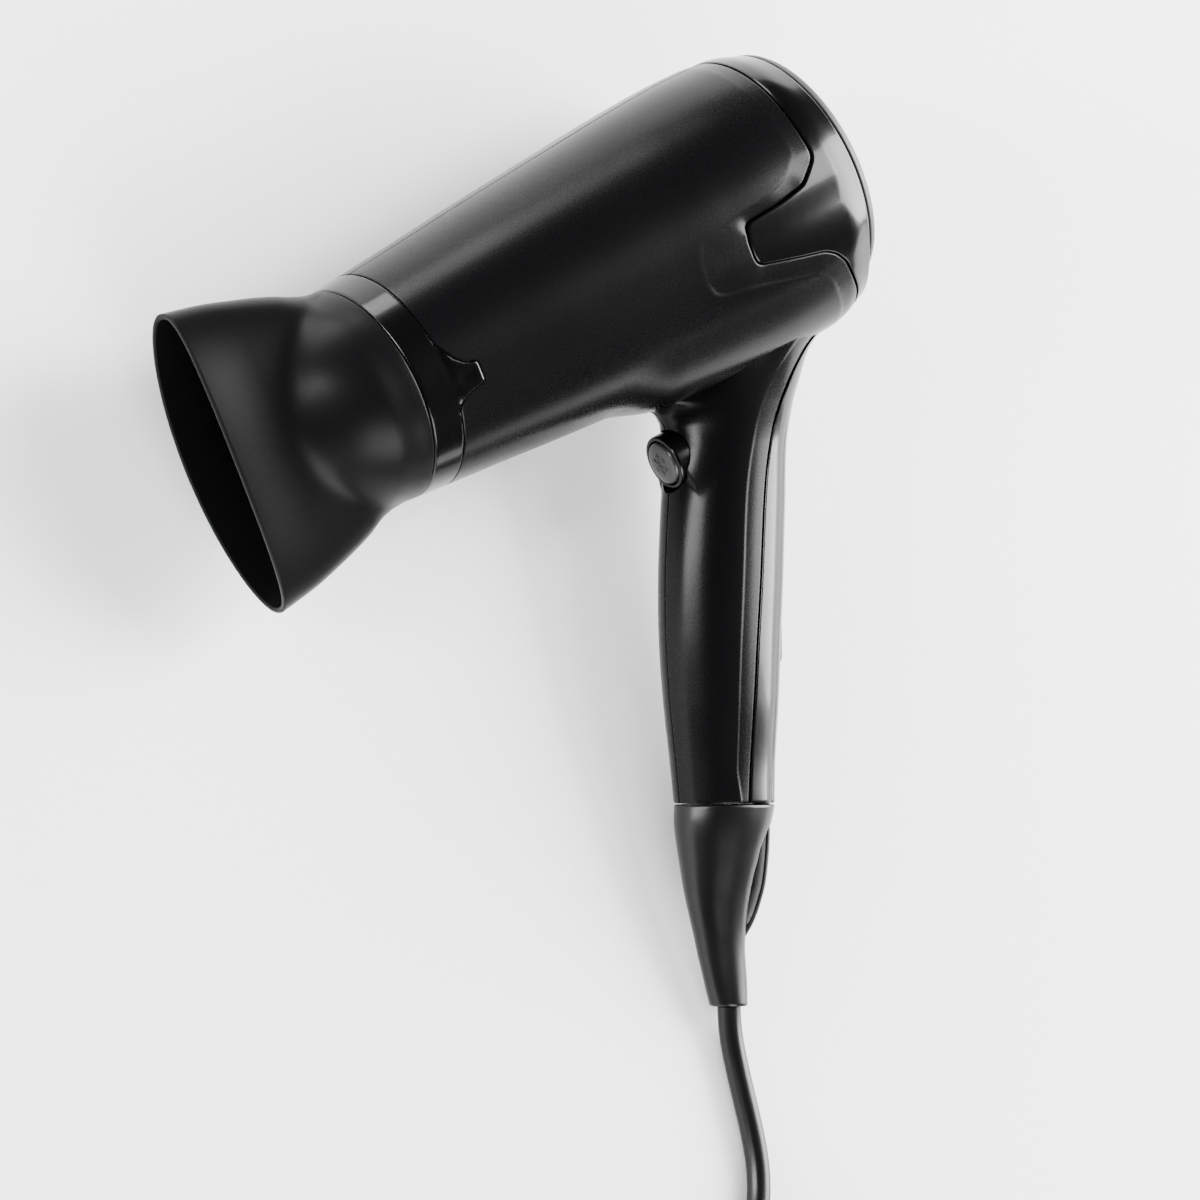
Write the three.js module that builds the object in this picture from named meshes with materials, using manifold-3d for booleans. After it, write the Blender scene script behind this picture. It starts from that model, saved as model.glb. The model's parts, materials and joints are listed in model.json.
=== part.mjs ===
// Corded hair dryer lying on its side, in millimetres. Z is up, the floor is z = 0.
// Working frame of the dryer: X to the rear, Y up the handle, Z to the dryer's left.
import * as THREE from 'three';
import { mergeVertices } from 'three/addons/utils/BufferGeometryUtils.js';
import Module from 'manifold-3d';

const wasm = await Module();
wasm.setup();
const { PI, cos, sin, hypot, min, max, abs } = Math;

// ---- Driving dimensions ----
const RAKE = 24.7 * PI / 180;             // barrel axis above the handle's square
const MOUTH = [-104.6, 100.75];           // centre of the barrel's front face, X and Y
const LAY = Math.atan(0.16);              // how far the handle's end drops to the floor
const WALL = 2.2;
const GAP = 0.3;
const RING_LENGTH = 8.3;
const BARREL_END = 135;
const HANDLE_END = 0;
const BUTTON_DROP = 50.7;                 // button axis below the barrel axis
const BUTTON_FACE = 71.6;                 // button face, along the barrel
const BUTTON_RADIUS = 5.65;
const NOZZLE_LENGTH = 44;
const CORD_RADIUS = 3.03;
const RELIEF_LENGTH = 50.8;
const LOOP_WIDTH = 6;

// barrel radius along its axis
const BARREL = [[8, 28.6], [28, 30.3], [43, 31.6], [59, 32.8], [76, 34], [94, 35.2], [111, 35.8],
  [127, 35.3], [135, 33]];
// handle: height, centre X, half depth in X, half width in Z
const HANDLE = [[0, -0.1, 13.3, 11.35], [10, -0.6, 13.9, 11.8], [26, -1.1, 15.25, 13], [42, -1.4, 16.1,
  13.7],
  [58, -1.1, 16.5, 14], [74, -0.5, 16.3, 14.2], [90, 0.4, 15.6, 15.2], [100, 0.9, 16.2, 17.4],
  [106, 0.8, 17.4, 19], [113, 0.4, 20.2, 21.5], [118, 0, 24, 24], [123, 0, 27, 26]];
// strain relief: height, centre X, half depth, half width
const RELIEF = [[-50.8, 1.1, 4.8, 4.75], [-45, 0.2, 5.6, 4.9], [-34.5, -1.5, 6.6, 5.7], [-23.5, -2.2, 8.6,
  7.2],
  [-13, -1.2, 10.5, 9], [-4, -0.4, 12.7, 10.8], [-0.3, -0.1, 13.2, 11.2]];
// nozzle: distance forward, top, bottom and side half sizes, square-ness of the section
const NOZZLE = [[0.3, 28, 28, 28, 2], [5, 28.9, 28.2, 27.6, 2], [9, 30.4, 29, 26.2, 2], [15, 33.1, 31.7,
  22.6, 1.96],
  [25, 36.5, 34.8, 17.6, 1.9], [33, 38.9, 36.8, 14.8, 1.85], [44, 41.3, 38.4, 12.4, 1.8]];
// front edge of the back cover, by angle from the barrel's top: angle in degrees, distance along the barrel
const COVER_EDGE = [[0, 125], [40, 124.4], [76, 123.4], [80, 121], [84, 116.5], [87, 100], [90, 97.4],
  [100, 97.4],
  [106, 99], [112, 116.5], [124, 125], [150, 131], [180, 131.5]];

// front edge of the back cover down the handle: height, X
const SPINE_EDGE = [[0, 0.4], [34, 1.4], [56, 2.6], [79, 3.7], [94, 6], [104, 9.6], [114, 15.6], [118,
  19.6],
  [124, 26.4], [132, 30]];

// ---- Curves ----
// value at x of a smooth curve through rows of [x, ...], column k
function along(rows, x, k = 1) {
  const last = rows.length - 1;
  if (x <= rows[0][0]) return rows[0][k];
  if (x >= rows[last][0]) return rows[last][k];
  let i = 0;
  while (x > rows[i + 1][0]) i += 1;
  const slope = (j) => (rows[j + 1][k] - rows[j][k]) / (rows[j + 1][0] - rows[j][0]);
  const tangent = (j) => {
    if (j === 0) return slope(0);
    if (j === last) return slope(last - 1);
    const [a, b] = [slope(j - 1), slope(j)];
    return a * b > 0 ? 2 * a * b / (a + b) : 0;
  };
  const h = rows[i + 1][0] - rows[i][0];
  const t = (x - rows[i][0]) / h;
  const [p, q] = [rows[i][k], rows[i + 1][k]];
  return (1 + 2 * t) * (1 - t) ** 2 * p + t * (1 - t) ** 2 * h * tangent(i)
    + t * t * (3 - 2 * t) * q + t * t * (t - 1) * h * tangent(i + 1);
}

// ---- Frames ----
const BACK = new THREE.Vector3(cos(RAKE), sin(RAKE), 0);
const DOWN = new THREE.Vector3(sin(RAKE), -cos(RAKE), 0);
const LEFT = new THREE.Vector3(0, 0, 1);
// barrel frame: x down, y to the rear along the axis, z left
const BARREL_FRAME = new THREE.Matrix4().makeBasis(DOWN, BACK, LEFT).setPosition(MOUTH[0], MOUTH[1], 0);

// ---- Solids ----
function solid(geometry) {
  const g = geometry.clone();
  g.deleteAttribute('normal');
  g.deleteAttribute('uv');
  const merged = mergeVertices(g, 1e-4);
  const mesh = new wasm.Mesh({
    numProp: 3,
    vertProperties: Float32Array.from(merged.attributes.position.array),
    triVerts: Uint32Array.from(merged.index.array),
  });
  mesh.merge();
  return new wasm.Manifold(mesh);
}

// moves every vertex of a geometry by a rule
function shape(geometry, rule) {
  const p = geometry.attributes.position;
  const v = new THREE.Vector3();
  for (let i = 0; i < p.count; i += 1) {
    v.fromBufferAttribute(p, i);
    rule(v);
    p.setXYZ(i, v.x, v.y, v.z);
  }
  return geometry;
}

const box = (x0, x1, y0, y1, z0, z1) => solid(
  new THREE.BoxGeometry(x1 - x0, y1 - y0, z1 - z0).translate((x0 + x1) / 2, (y0 + y1) / 2, (z0 + z1) / 2));
const rod = (r, y0, y1, sides = 24) => solid(
  new THREE.CylinderGeometry(r, r, y1 - y0, sides).translate(0, (y0 + y1) / 2, 0));
const turned = (points, sides = 40) => solid(
  new THREE.LatheGeometry(points.map(([r, y]) => new THREE.Vector2(r, y)), sides));
const pipe = (r0, r1, y0, y1, sides = 40) => turned([[r0, y0], [r1, y0], [r1, y1], [r0, y1], [r0, y0]],
  sides);
const all = (list) => list.reduce((a, b) => a.add(b));
const barrelPlaced = (m) => placed(m, BARREL_FRAME);
const placed = (m, matrix) => m.transform(matrix.toArray());

// a solid through sections stacked along y; section(y, angle) gives [x, z]
function lofted(y0, y1, steps, sides, section) {
  const g = new THREE.CylinderGeometry(1, 1, 1, sides, steps);
  return solid(shape(g, (v) => {
    const y = y0 + (y1 - y0) * (v.y + 0.5);
    const r = hypot(v.x, v.z);
    const [x, z] = section(y, Math.atan2(v.z, v.x));
    const [cx, cz] = section(y, 0).map((s, i) => (s + section(y, PI)[i]) / 2);
    v.set(cx + (x - cx) * r, y, cz + (z - cz) * r);
  }));
}

// a wire along hand-placed points
function tube(points, radius, steps, sides = 8, tension = 0.5) {
  const outline = new THREE.Shape(Array.from({ length: sides }, (_, i) => new THREE.Vector2(
    radius * cos(2 * PI * i / sides), radius * sin(2 * PI * i / sides))));
  const path = new THREE.CatmullRomCurve3(points.map((q) => new THREE.Vector3(...q)), false, 'catmullrom',
    tension);
  return solid(new THREE.ExtrudeGeometry(outline, { steps, extrudePath: path, bevelEnabled: false }));
}

// ---- Outer shapes ----
const barrelShell = (inset, y0, y1) => {
  const stations = [28, 59, 94, 111, 123, 130].filter((a) => a > y0 + 1 && a < y1 - 1);
  const outline = [y0, ...stations, y1].map((a) => [along(BARREL, a) - inset, a]);
  return barrelPlaced(turned([[0, y0], ...outline, [0, y1]], inset ? 24 : 36));
};
const handleSection = (inset) => (y, t) => [
  along(HANDLE, y, 1) + (along(HANDLE, y, 2) - inset) * cos(t), (along(HANDLE, y, 3) - inset) * sin(t)];
const handleShell = (inset, y0, y1) => lofted(y0, y1, inset ? 6 : 10, inset ? 12 : 20,
  handleSection(inset));

// everything behind the back cover's front edge, moved forward by `grow`
function coverRegion(grow) {
  const rows = [[0, 112 - grow], [21, 112 - grow], [25, 0], [60, 0], [60, 150], [0, 150]];
  const barrelPart = shape(new THREE.LatheGeometry(rows.map(([r, y]) => new THREE.Vector2(r, y)), 72),
    (v) => {
    if (v.y === 0) {
      const angle = abs(Math.atan2(v.z, -v.x)) * 180 / PI;
      v.y = along(COVER_EDGE, angle) - grow;
    }
  });
  const slab = shape(new THREE.BoxGeometry(1, 1, 1, 1, 12, 1), (v) => {
    const y = -5 + (v.y + 0.5) * 137;
    v.set(v.x < 0 ? along(SPINE_EDGE, y) - grow : 60, y, v.z * 80);
  });
  return barrelPlaced(solid(barrelPart)).add(solid(slab));
}

// ---- Housing halves and back cover ----
const outer = barrelShell(0, RING_LENGTH, BARREL_END).add(handleShell(0, HANDLE_END, 123));
const hollow = barrelShell(WALL, RING_LENGTH - 1, BARREL_END + 1)
  .add(handleShell(WALL, HANDLE_END + WALL, 121))
  .add(rod(7.4, -2, 4));
const buttonHole = barrelPlaced(rod(7.5, 60, 84, 28).translate(BUTTON_DROP, 0, 0));
// three screws join the halves from the right side
const SCREWS = [[-7, 18], [-8.6, 66.5], [4.5, 108]];
const SCREW_HEAD = 2.9;
const SCREW_SHANK = 1.4;
const alongZ = (r, z0, z1, x, y, sides = 12) => rod(r, z0, z1, sides).rotate([90, 0, 0]).translate(x, y, 0);
const bosses = all(SCREWS.map(([x, y]) => alongZ(4, -30, 30, x, y))).intersect(outer);
const screwSpace = all(SCREWS.map(([x, y]) => all([
  alongZ(SCREW_SHANK + 0.35, -30, 7.5, x, y), alongZ(SCREW_HEAD + 0.5, -30, -7, x, y)])));
const shell = outer.subtract(hollow).add(bosses).subtract(screwSpace).subtract(buttonHole);
const coverZone = coverRegion(0);
const frontShell = shell.subtract(coverRegion(GAP));
const housingLeft = frontShell.intersect(box(-200, 80, -60, 220, GAP / 2, 80));
const housingRight = frontShell.intersect(box(-200, 80, -60, 220, -80, -GAP / 2));

// two switch slots in flats on the spine: centre height, flat's X
const SWITCHES = [[40, 13.5], [66, 14.2]];
const switchCuts = all(SWITCHES.map(([y, x]) => all([
  box(x, 30, y - 9.6, y + 9.6, -5.2, 5.2), box(5, 30, y - 6.6, y + 6.6, -1.9, 1.9)])));
const lipInside = barrelPlaced(rod(32, 120, 140, 40));
const backCover = outer.subtract(hollow).intersect(coverZone).subtract(switchCuts).subtract(lipInside);

// ---- Front of the barrel ----
const ringProfile = [[25.4, 0], [28, 0], [28.55, 5], [28.75, 8], [26.8, 8], [25.4, 6.5], [25.4, 0]];
const ringBody = barrelPlaced(turned(ringProfile, 36));
// the ring reaches back over the sides of the shells in a tapering tab; its half width by distance back
const TAB = [6, 16];
const tabHalf = (a) => 11 - 8 * sin(min(1, max(0, (a - TAB[0]) / (TAB[1] - TAB[0]))) * PI / 2);
const tabPrism = (side, a0, a1, margin) => solid(shape(new THREE.BoxGeometry(1, 1, 1, 1, 5, 1), (v) => {
  const a = a0 + (a1 - a0) * (v.y + 0.5);
  v.set(v.x * 2 * (tabHalf(a) + margin) + (a - 11) / 5, a, 28 * side + 12 * v.z);
}));
const tabSkin = turned([[27.2, 6], [28.9, 6], [29.85, 16], [28.3, 16], [27.2, 6]], 36);
const tabPocket = turned([[26.9, 5], [31, 5], [32, 16.4], [27.9, 16.4], [26.9, 5]], 36);
const SIDES = [1, -1];
const frontRing = all([ringBody, ...SIDES.map((side) => barrelPlaced(tabSkin.intersect(tabPrism(side, 6,
  16, 0))))]);
const tabRoom = SIDES.map((side) => barrelPlaced(tabPocket.intersect(tabPrism(side, 5, 16.4, 0.4))));

// ---- Nozzle ----
function nozzleSection(inset) {
  return (y, t) => {
    const d = -y;
    const side = along(NOZZLE, d, cos(t) < 0 ? 2 - 1 : 2) - inset;
    const power = 2 / along(NOZZLE, d, 4);
    const bend = (c) => Math.sign(c) * abs(c) ** power;
    return [side * bend(cos(t)), (along(NOZZLE, d, 3) - inset) * bend(sin(t))];
  };
}
const nozzleOuter = lofted(-NOZZLE_LENGTH - 3, -GAP, 8, 28, nozzleSection(0));
const nozzleInner = lofted(-NOZZLE_LENGTH - 4, -GAP + 1, 6, 24, nozzleSection(1.6));
// the lips stand a little further forward in the middle than at their ends
const mouthTrim = solid(shape(new THREE.BoxGeometry(120, 1, 80, 8, 1, 1), (v) => {
  const lip = -NOZZLE_LENGTH - 2.8 * (1 - min(1, (v.x / 41) ** 2));
  v.y = v.y > 0 ? lip : -80;
}));
const collarSeat = pipe(25.4, 27, -8, -GAP, 28);
const nozzle = barrelPlaced(nozzleOuter.subtract(nozzleInner).add(collarSeat).subtract(mouthTrim));
const nozzleCollar = barrelPlaced(pipe(23.2, 25, -7.5, 7.5, 28));

// ---- Outlet grille, heater ----
const spokes = all([0, 1].map((i) => box(-24.5, 24.5, 9.2, 11.4, -0.6, 0.6).rotate([0, 90 * i + 45, 0])));
const outletGrille = barrelPlaced(all([pipe(24, 26, 8.8, 11.8, 28), pipe(11.6, 12.8, 9.2, 11.4, 16),
  spokes]));
const heatTube = barrelPlaced(pipe(24.4, 25.4, 13, 78, 28));
const board = (slotFrom, slotTo) => box(-19.6, 19.6, 14, 76, -0.4, 0.4).subtract(box(-0.8, 0.8, slotFrom,
  slotTo, -2, 2));
const boardLeft = barrelPlaced(board(10, 45.2));
const boardRight = barrelPlaced(board(44.8, 80).rotate([0, 90, 0]));
const COIL_TURNS = 6;
const coilPoints = Array.from({ length: COIL_TURNS * 12 + 1 }, (_, i) => {
  const t = i / 12;
  return [21 * cos(2 * PI * t), 18 + 7.2 * t, 21 * sin(2 * PI * t)];
});
const heatingCoil = barrelPlaced(tube(coilPoints, 0.7, COIL_TURNS * 12, 4));
const thermostat = barrelPlaced(box(6, 14, 64, 74, 0.7, 5.2));
const thermalFuse = barrelPlaced(rod(1.8, 60, 73, 12).translate(-10, 0, 2.6));

// ---- Motor, fan ----
const MOTOR = [82, 108];
const vanes = all(Array.from({ length: 6 }, (_, i) => box(15, 29, 81, 90, -0.6, 0.6).rotate([0,
  60 * i + 30, 0])));
const motorMount = barrelPlaced(all([pipe(14.4, 16, 80, 94, 20), pipe(28.2, 30.2, 80, 94, 28), vanes]));
const motorCan = barrelPlaced(turned([[0, MOTOR[0]], [12.6, MOTOR[0]], [14, MOTOR[0] + 2], [14,
  MOTOR[1] - 1], [13, MOTOR[1]],
  [0, MOTOR[1]]], 28));
const motorShaft = barrelPlaced(rod(1.15, MOTOR[1] + GAP, 124, 12));
const blade = shape(new THREE.BoxGeometry(21.6, 9, 0.9, 1, 2, 1), (v) => {
  const r = v.x + 7.5 + 10.8;
  const turn = v.y * 0.075;
  v.set(r * cos(turn) - v.z * sin(turn), v.y + 117, r * sin(turn) + v.z * cos(turn));
});
const blades = all(Array.from({ length: 7 }, (_, i) => solid(blade).rotate([0, 360 / 7 * i, 0])));
const fan = barrelPlaced(turned([[1.45, 111.5], [8.5, 111.5], [8.5, 122], [5.5, 124.5], [1.45, 124.5],
  [1.45, 111.5]], 20)
  .add(blades));

// ---- Inlet ----
const filterDisc = barrelPlaced(turned([[0, 127.2], [29.6, 127.2], [29.6, 128.6], [0, 128.6]], 28));
const domeOuter = [[31.6, 126], [31.6, 135.3], [32.8, 135.4], [32.3, 136.8], [30.6, 137.7], [26, 138.8],
  [15, 140.6], [0, 141]];
const domeInner = [[0, 139.2], [15, 138.8], [25.5, 137], [29.6, 135.2], [30.4, 126], [31.6, 126]];
const slots = all(Array.from({ length: 8 }, (_, i) => box(9, 28, 130, 150, -2.2, 2.2).rotate([0, 45 * i,
  0])));
const inletGrille = barrelPlaced(turned([...domeOuter, ...domeInner], 32).subtract(slots));

// ---- Cool button, in its bezel ----
const atButton = (m) => barrelPlaced(m.translate(BUTTON_DROP, 0, 0));
const buttonBezel = atButton(turned([[6, 72.2], [6.6, 71.9], [7.15, 72.6], [7.15, 83.6], [6, 83.6],
  [6, 72.2]], 24));
const coolButton = atButton(turned([[0, BUTTON_FACE - 0.9], [2.8, BUTTON_FACE - 0.6], [4.6, BUTTON_FACE],
  [BUTTON_RADIUS, BUTTON_FACE + 1.1],
  [BUTTON_RADIUS, 81.8], [0, 81.8]], 24));
const springPoints = Array.from({ length: 25 }, (_, i) => [
  2.6 * cos(2 * PI * i / 8), 84.7 + 2.6 * i / 24, 2.6 * sin(2 * PI * i / 8)]);
const buttonSpring = atButton(tube(springPoints, 0.3, 24, 4));
const coolSwitch = atButton(box(-4.5, 4.5, 88, 94, -3, 3));

// ---- Handle contents ----
const switchBlocks = SWITCHES.map(([y]) => box(-3, 8.6, y - 8, y + 8, -4.6, 4.6));
const knobs = SWITCHES.map(([y, x]) => {
  const cap = box(x + GAP, x + 1.2, y - 5, y + 5, -4.6, 4.6);
  const ribs = all([-3, 0, 3].map((dy) => box(x + 1, x + 1.6, y + dy - 0.5, y + dy + 0.5, -3.8, 3.8)));
  return cap.add(box(8.9, x + 1, y - 2, y + 2, -1.5, 1.5)).add(ribs);
});
const rectifier = box(-9.4, -7.8, 27, 57, -6.5, 6.5);
const cordClamp = box(-7.5, 7.5, 9.6, 12.4, -6, -3.5).add(box(-7.5, 7.5, 9.6, 12.4, 3.5, 6))
  .add(box(5, 7.5, 9.6, 12.4, -6, 6)).add(box(-7.5, -5, 9.6, 12.4, -6, 6));
const supplyWire = tube([[0.5, 9, 0], [0.5, 15, 0], [1.5, 22, 0], [2.6, 31.5, 0]], 1.5, 8, 6);
const linkWire = tube([[-5.6, 33, 0], [-5.6, 45, 1], [-5.6, 57, 0]], 1, 6, 6);
const motorWire = tube([[2, 75.6, 0], [3, 82, 4], [5, 92, 8], [7, 99, 9], [8, 103, 9]], 1.1, 14, 6);
const heaterWire = tube([[2, 75.6, -3], [0, 84, -8], [-3, 96, -9.6], [-7, 103, -9]], 1.1, 14, 6);

// ---- Screws ----
const screws = SCREWS.map(([x, y]) => {
  const head = alongZ(SCREW_HEAD, -9.2, -7.3, x, y);
  const cross = box(x - 2, x + 2, y - 0.4, y + 0.4, -9.4, -8.4);
  return head.add(alongZ(SCREW_SHANK, -7.5, 7, x, y)).subtract(cross);
});

// ---- Strain relief with its hanging loop ----
const reliefCone = lofted(-RELIEF_LENGTH, -GAP, 8, 20, (y, t) => [
  along(RELIEF, y, 1) + along(RELIEF, y, 2) * cos(t), along(RELIEF, y, 3) * sin(t)]);
const STRAP = [[11, -1.5], [11.5, -6], [11.4, -11], [10.5, -19], [8.8, -25], [6.6, -30], [3.6, -34.5]];
const STRAP_HALF = 0.7;
const strapLine = new THREE.SplineCurve(STRAP.map(([x, y]) => new THREE.Vector2(x, y)));
const strapEdge = (side) => Array.from({ length: 11 }, (_, i) => {
  const p = strapLine.getPoint(i / 10);
  const t = strapLine.getTangent(i / 10);
  return new THREE.Vector2(p.x + side * STRAP_HALF * t.y, p.y - side * STRAP_HALF * t.x);
});
const prism = (outline, depth) => solid(new THREE.ExtrudeGeometry(new THREE.Shape(outline),
  { depth, bevelEnabled: false, steps: 1 }).translate(0, 0, -depth / 2));
const strap = prism([...strapEdge(1), ...strapEdge(-1).reverse()], LOOP_WIDTH);
const slit = prism([[10.4, -5.4], [7.3, -11], [5.7, -19], [5, -26], [4.9, -29.3], [7.3, -26], [8.8,
  -21.5], [9.6, -19],
  [10.4, -12], [10.6, -7]].map(([x, y]) => new THREE.Vector2(x, y)), 40);
const reliefNeck = rod(7, -2, 6.4, 16).add(pipe(3, 8.4, 5, 6.4, 16));
const strainRelief = all([reliefCone, strap, reliefNeck]).subtract(slit);

// ---- Cord, lying on the floor: places across and along from the strain relief's end, and the height ----
const COIL_CENTRE = [14, -112];
const COIL_MIDDLE = 35;
const COIL_HEIGHT = 18.4;
const LIE = CORD_RADIUS + 0.02;
const CORD_PATH = [[0.25, -5, 3.9], [1.2, -11, 3.25], [2.8, -20, LIE], [4.9, -31, LIE], [6, -41, LIE],
  [5, -51, LIE], [1.4, -59.5, LIE], [-5, -66.2, LIE], [-16.2, -74.2, LIE]];
const TAIL_PATH = [[22, -160.6, 8.6], [32, -162, 6.6], [44, -161.2, 4.9], [57, -157, 4.4], [68, -148, 4.4],
  [73.4, -138, 4.4], [74.2, -130, 4.4]];

// ---- Placing everything in the room ----
const tilt = new THREE.Matrix4().makeRotationX(LAY);
const rigid = {
  housing_left: housingLeft.subtract(all(tabRoom)),
  housing_right: housingRight.subtract(all(tabRoom)),
  back_cover: backCover,
  front_ring: frontRing,
  nozzle_collar: nozzleCollar,
  nozzle,
  outlet_grille: outletGrille,
  heat_tube: heatTube,
  heater_board_a: boardLeft,
  heater_board_b: boardRight,
  heating_coil: heatingCoil,
  thermostat,
  thermal_fuse: thermalFuse,
  motor_mount: motorMount,
  motor_can: motorCan,
  motor_shaft: motorShaft,
  fan,
  inlet_filter: filterDisc,
  inlet_grille: inletGrille,
  button_bezel: buttonBezel,
  cool_button: coolButton,
  button_spring: buttonSpring,
  cool_switch: coolSwitch,
  speed_switch: switchBlocks[0],
  heat_switch: switchBlocks[1],
  speed_knob: knobs[0],
  heat_knob: knobs[1],
  rectifier_board: rectifier,
  cord_clamp: cordClamp,
  supply_wire: supplyWire,
  link_wire: linkWire,
  motor_wire: motorWire,
  heater_wire: heaterWire,
  screw_low: screws[0],
  screw_high: screws[1],
  screw_neck: screws[2],
  strain_relief: strainRelief,
};
const group = new THREE.Group();
const bounds = new THREE.Box3();
for (const [name, m] of Object.entries(rigid)) {
  const b = placed(m, tilt).boundingBox();
  if (b.min[0] <= b.max[0]) bounds.union(new THREE.Box3(new THREE.Vector3(...b.min),
    new THREE.Vector3(...b.max)));
  else throw new Error(`${name} is empty`);
}
const centre = bounds.getCenter(new THREE.Vector3());
const room = new THREE.Matrix4().makeTranslation(-centre.x, -centre.y, -bounds.min.z).multiply(tilt);

const FINISHES = {
  satin: [0x24242a, 0.42, 0], gloss: [0x0c0c0f, 0.12, 0], matte: [0x1b1b1e, 0.6, 0], rubber: [0x1a1a1c,
    0.75, 0],
  mica: [0xb9a888, 0.6, 0], steel: [0xb8bcc0, 0.3, 1], wire: [0xa33a2a, 0.5, 0], resin: [0x3a4a3c, 0.6, 0],
  copper: [0xb87345, 0.35, 1], filter: [0x3a3a3a, 0.9, 0], grey: [0x6d6f76, 0.45, 0],
};
const FINISH_OF = {
  back_cover: 'gloss', front_ring: 'gloss', button_bezel: 'gloss', nozzle: 'matte', nozzle_collar: 'matte',
  outlet_grille: 'matte', heat_tube: 'mica', heater_board_a: 'mica', heater_board_b: 'mica',
    heating_coil: 'copper',
  thermostat: 'resin', thermal_fuse: 'steel', motor_mount: 'matte', motor_can: 'steel',
    motor_shaft: 'steel',
  fan: 'grey', inlet_filter: 'filter', inlet_grille: 'matte', cool_button: 'grey', button_spring: 'steel',
  speed_switch: 'resin', heat_switch: 'resin', cool_switch: 'resin', rectifier_board: 'resin',
    cord_clamp: 'grey',
  supply_wire: 'wire', link_wire: 'wire', motor_wire: 'wire', heater_wire: 'wire', screw_low: 'steel',
  screw_high: 'steel', screw_neck: 'steel', strain_relief: 'rubber', cord: 'rubber', cord_coil: 'rubber',
  cord_tail: 'rubber', plug_body: 'rubber', plug_pin_a: 'steel', plug_pin_b: 'steel',
};

function addPiece(name, m) {
  const out = m.getMesh();
  const g = new THREE.BufferGeometry();
  const xyz = new Float32Array(out.vertProperties.length / out.numProp * 3);
  for (let i = 0; i < xyz.length / 3; i += 1) {
    for (let k = 0; k < 3; k += 1) xyz[3 * i + k] = out.vertProperties[out.numProp * i + k];
  }
  g.setAttribute('position', new THREE.BufferAttribute(xyz, 3));
  g.setIndex(new THREE.BufferAttribute(Uint32Array.from(out.triVerts), 1));
  g.computeVertexNormals();
  const [colour, roughness, metalness] = FINISHES[FINISH_OF[name] || 'satin'];
  const mesh = new THREE.Mesh(g, new THREE.MeshStandardMaterial({ color: colour, roughness, metalness }));
  mesh.name = name;
  group.add(mesh);
}
for (const [name, m] of Object.entries(rigid)) addPiece(name, placed(m, room));

// the cord, its coil, the tail and the plug stay in the room's frame
const exit = new THREE.Vector3(RELIEF[0][1], -RELIEF_LENGTH - GAP, 0).applyMatrix4(room);
const fromExit = (list) => list.map(([x, y, z]) => [exit.x + x, exit.y + y, z]);
const halfCoil = 3.1 * CORD_RADIUS;
const coilSection = [[COIL_MIDDLE - halfCoil, 1], [COIL_MIDDLE - halfCoil + 1, 0.02],
  [COIL_MIDDLE + halfCoil - 1, 0.02],
  [COIL_MIDDLE + halfCoil, 1], [COIL_MIDDLE + halfCoil, COIL_HEIGHT - 1.5], [COIL_MIDDLE + halfCoil - 2,
  COIL_HEIGHT],
  [COIL_MIDDLE - halfCoil + 2, COIL_HEIGHT], [COIL_MIDDLE - halfCoil, COIL_HEIGHT - 1.5],
    [COIL_MIDDLE - halfCoil, 1]];
const cordCoil = turned(coilSection, 40).rotate([90, 0, 0]).translate(exit.x + COIL_CENTRE[0],
  exit.y + COIL_CENTRE[1], 0);
addPiece('cord', tube([exit.toArray(), ...fromExit(CORD_PATH)], CORD_RADIUS, 32, 10));
addPiece('cord_coil', cordCoil);
addPiece('cord_tail', tube(fromExit(TAIL_PATH), CORD_RADIUS, 20, 10));

// plug: a tapered grip and two pins, lying flat
const PLUG_HALF_HEIGHT = 8.6;
const PLUG = [[0, 4.4, 4.2], [4, 5.4, 5], [16, 8, 7], [26, 13, 8.4], [36, 14.5, PLUG_HALF_HEIGHT],
  [40, 14.5, PLUG_HALF_HEIGHT]];
const tailEnd = fromExit(TAIL_PATH.slice(-2)).map((q) => new THREE.Vector3(...q));
const plugAxis = tailEnd[1].clone().sub(tailEnd[0]).setZ(0).normalize();
const plugSide = new THREE.Vector3(plugAxis.y, -plugAxis.x, 0);
const plugFrame = new THREE.Matrix4().makeBasis(plugSide, plugAxis, new THREE.Vector3(0, 0, 1))
  .setPosition(tailEnd[1].clone().addScaledVector(plugAxis, GAP).setZ(PLUG_HALF_HEIGHT + 0.05));
addPiece('plug_body', placed(lofted(0, 40, 10, 28, (y, t) => [
  along(PLUG, y, 1) * Math.sign(cos(t)) * abs(cos(t)) ** 0.8, along(PLUG, y,
    2) * Math.sign(sin(t)) * abs(sin(t)) ** 0.8]), plugFrame));
const pin = (x) => turned([[0, 40.3], [2.4, 40.3], [2.4, 57.5], [1.4, 59.3], [0, 59.3]], 16).translate(x,
  0, 0);
addPiece('plug_pin_a', placed(pin(-9.5), plugFrame));
addPiece('plug_pin_b', placed(pin(9.5), plugFrame));

export default group;
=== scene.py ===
"""Travel hair dryer: fine shells, trim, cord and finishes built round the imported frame."""

import json
import math

import bmesh
import bpy
import numpy as np
from mathutils import Matrix, Vector
from mathutils.geometry import delaunay_2d_cdt

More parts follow.
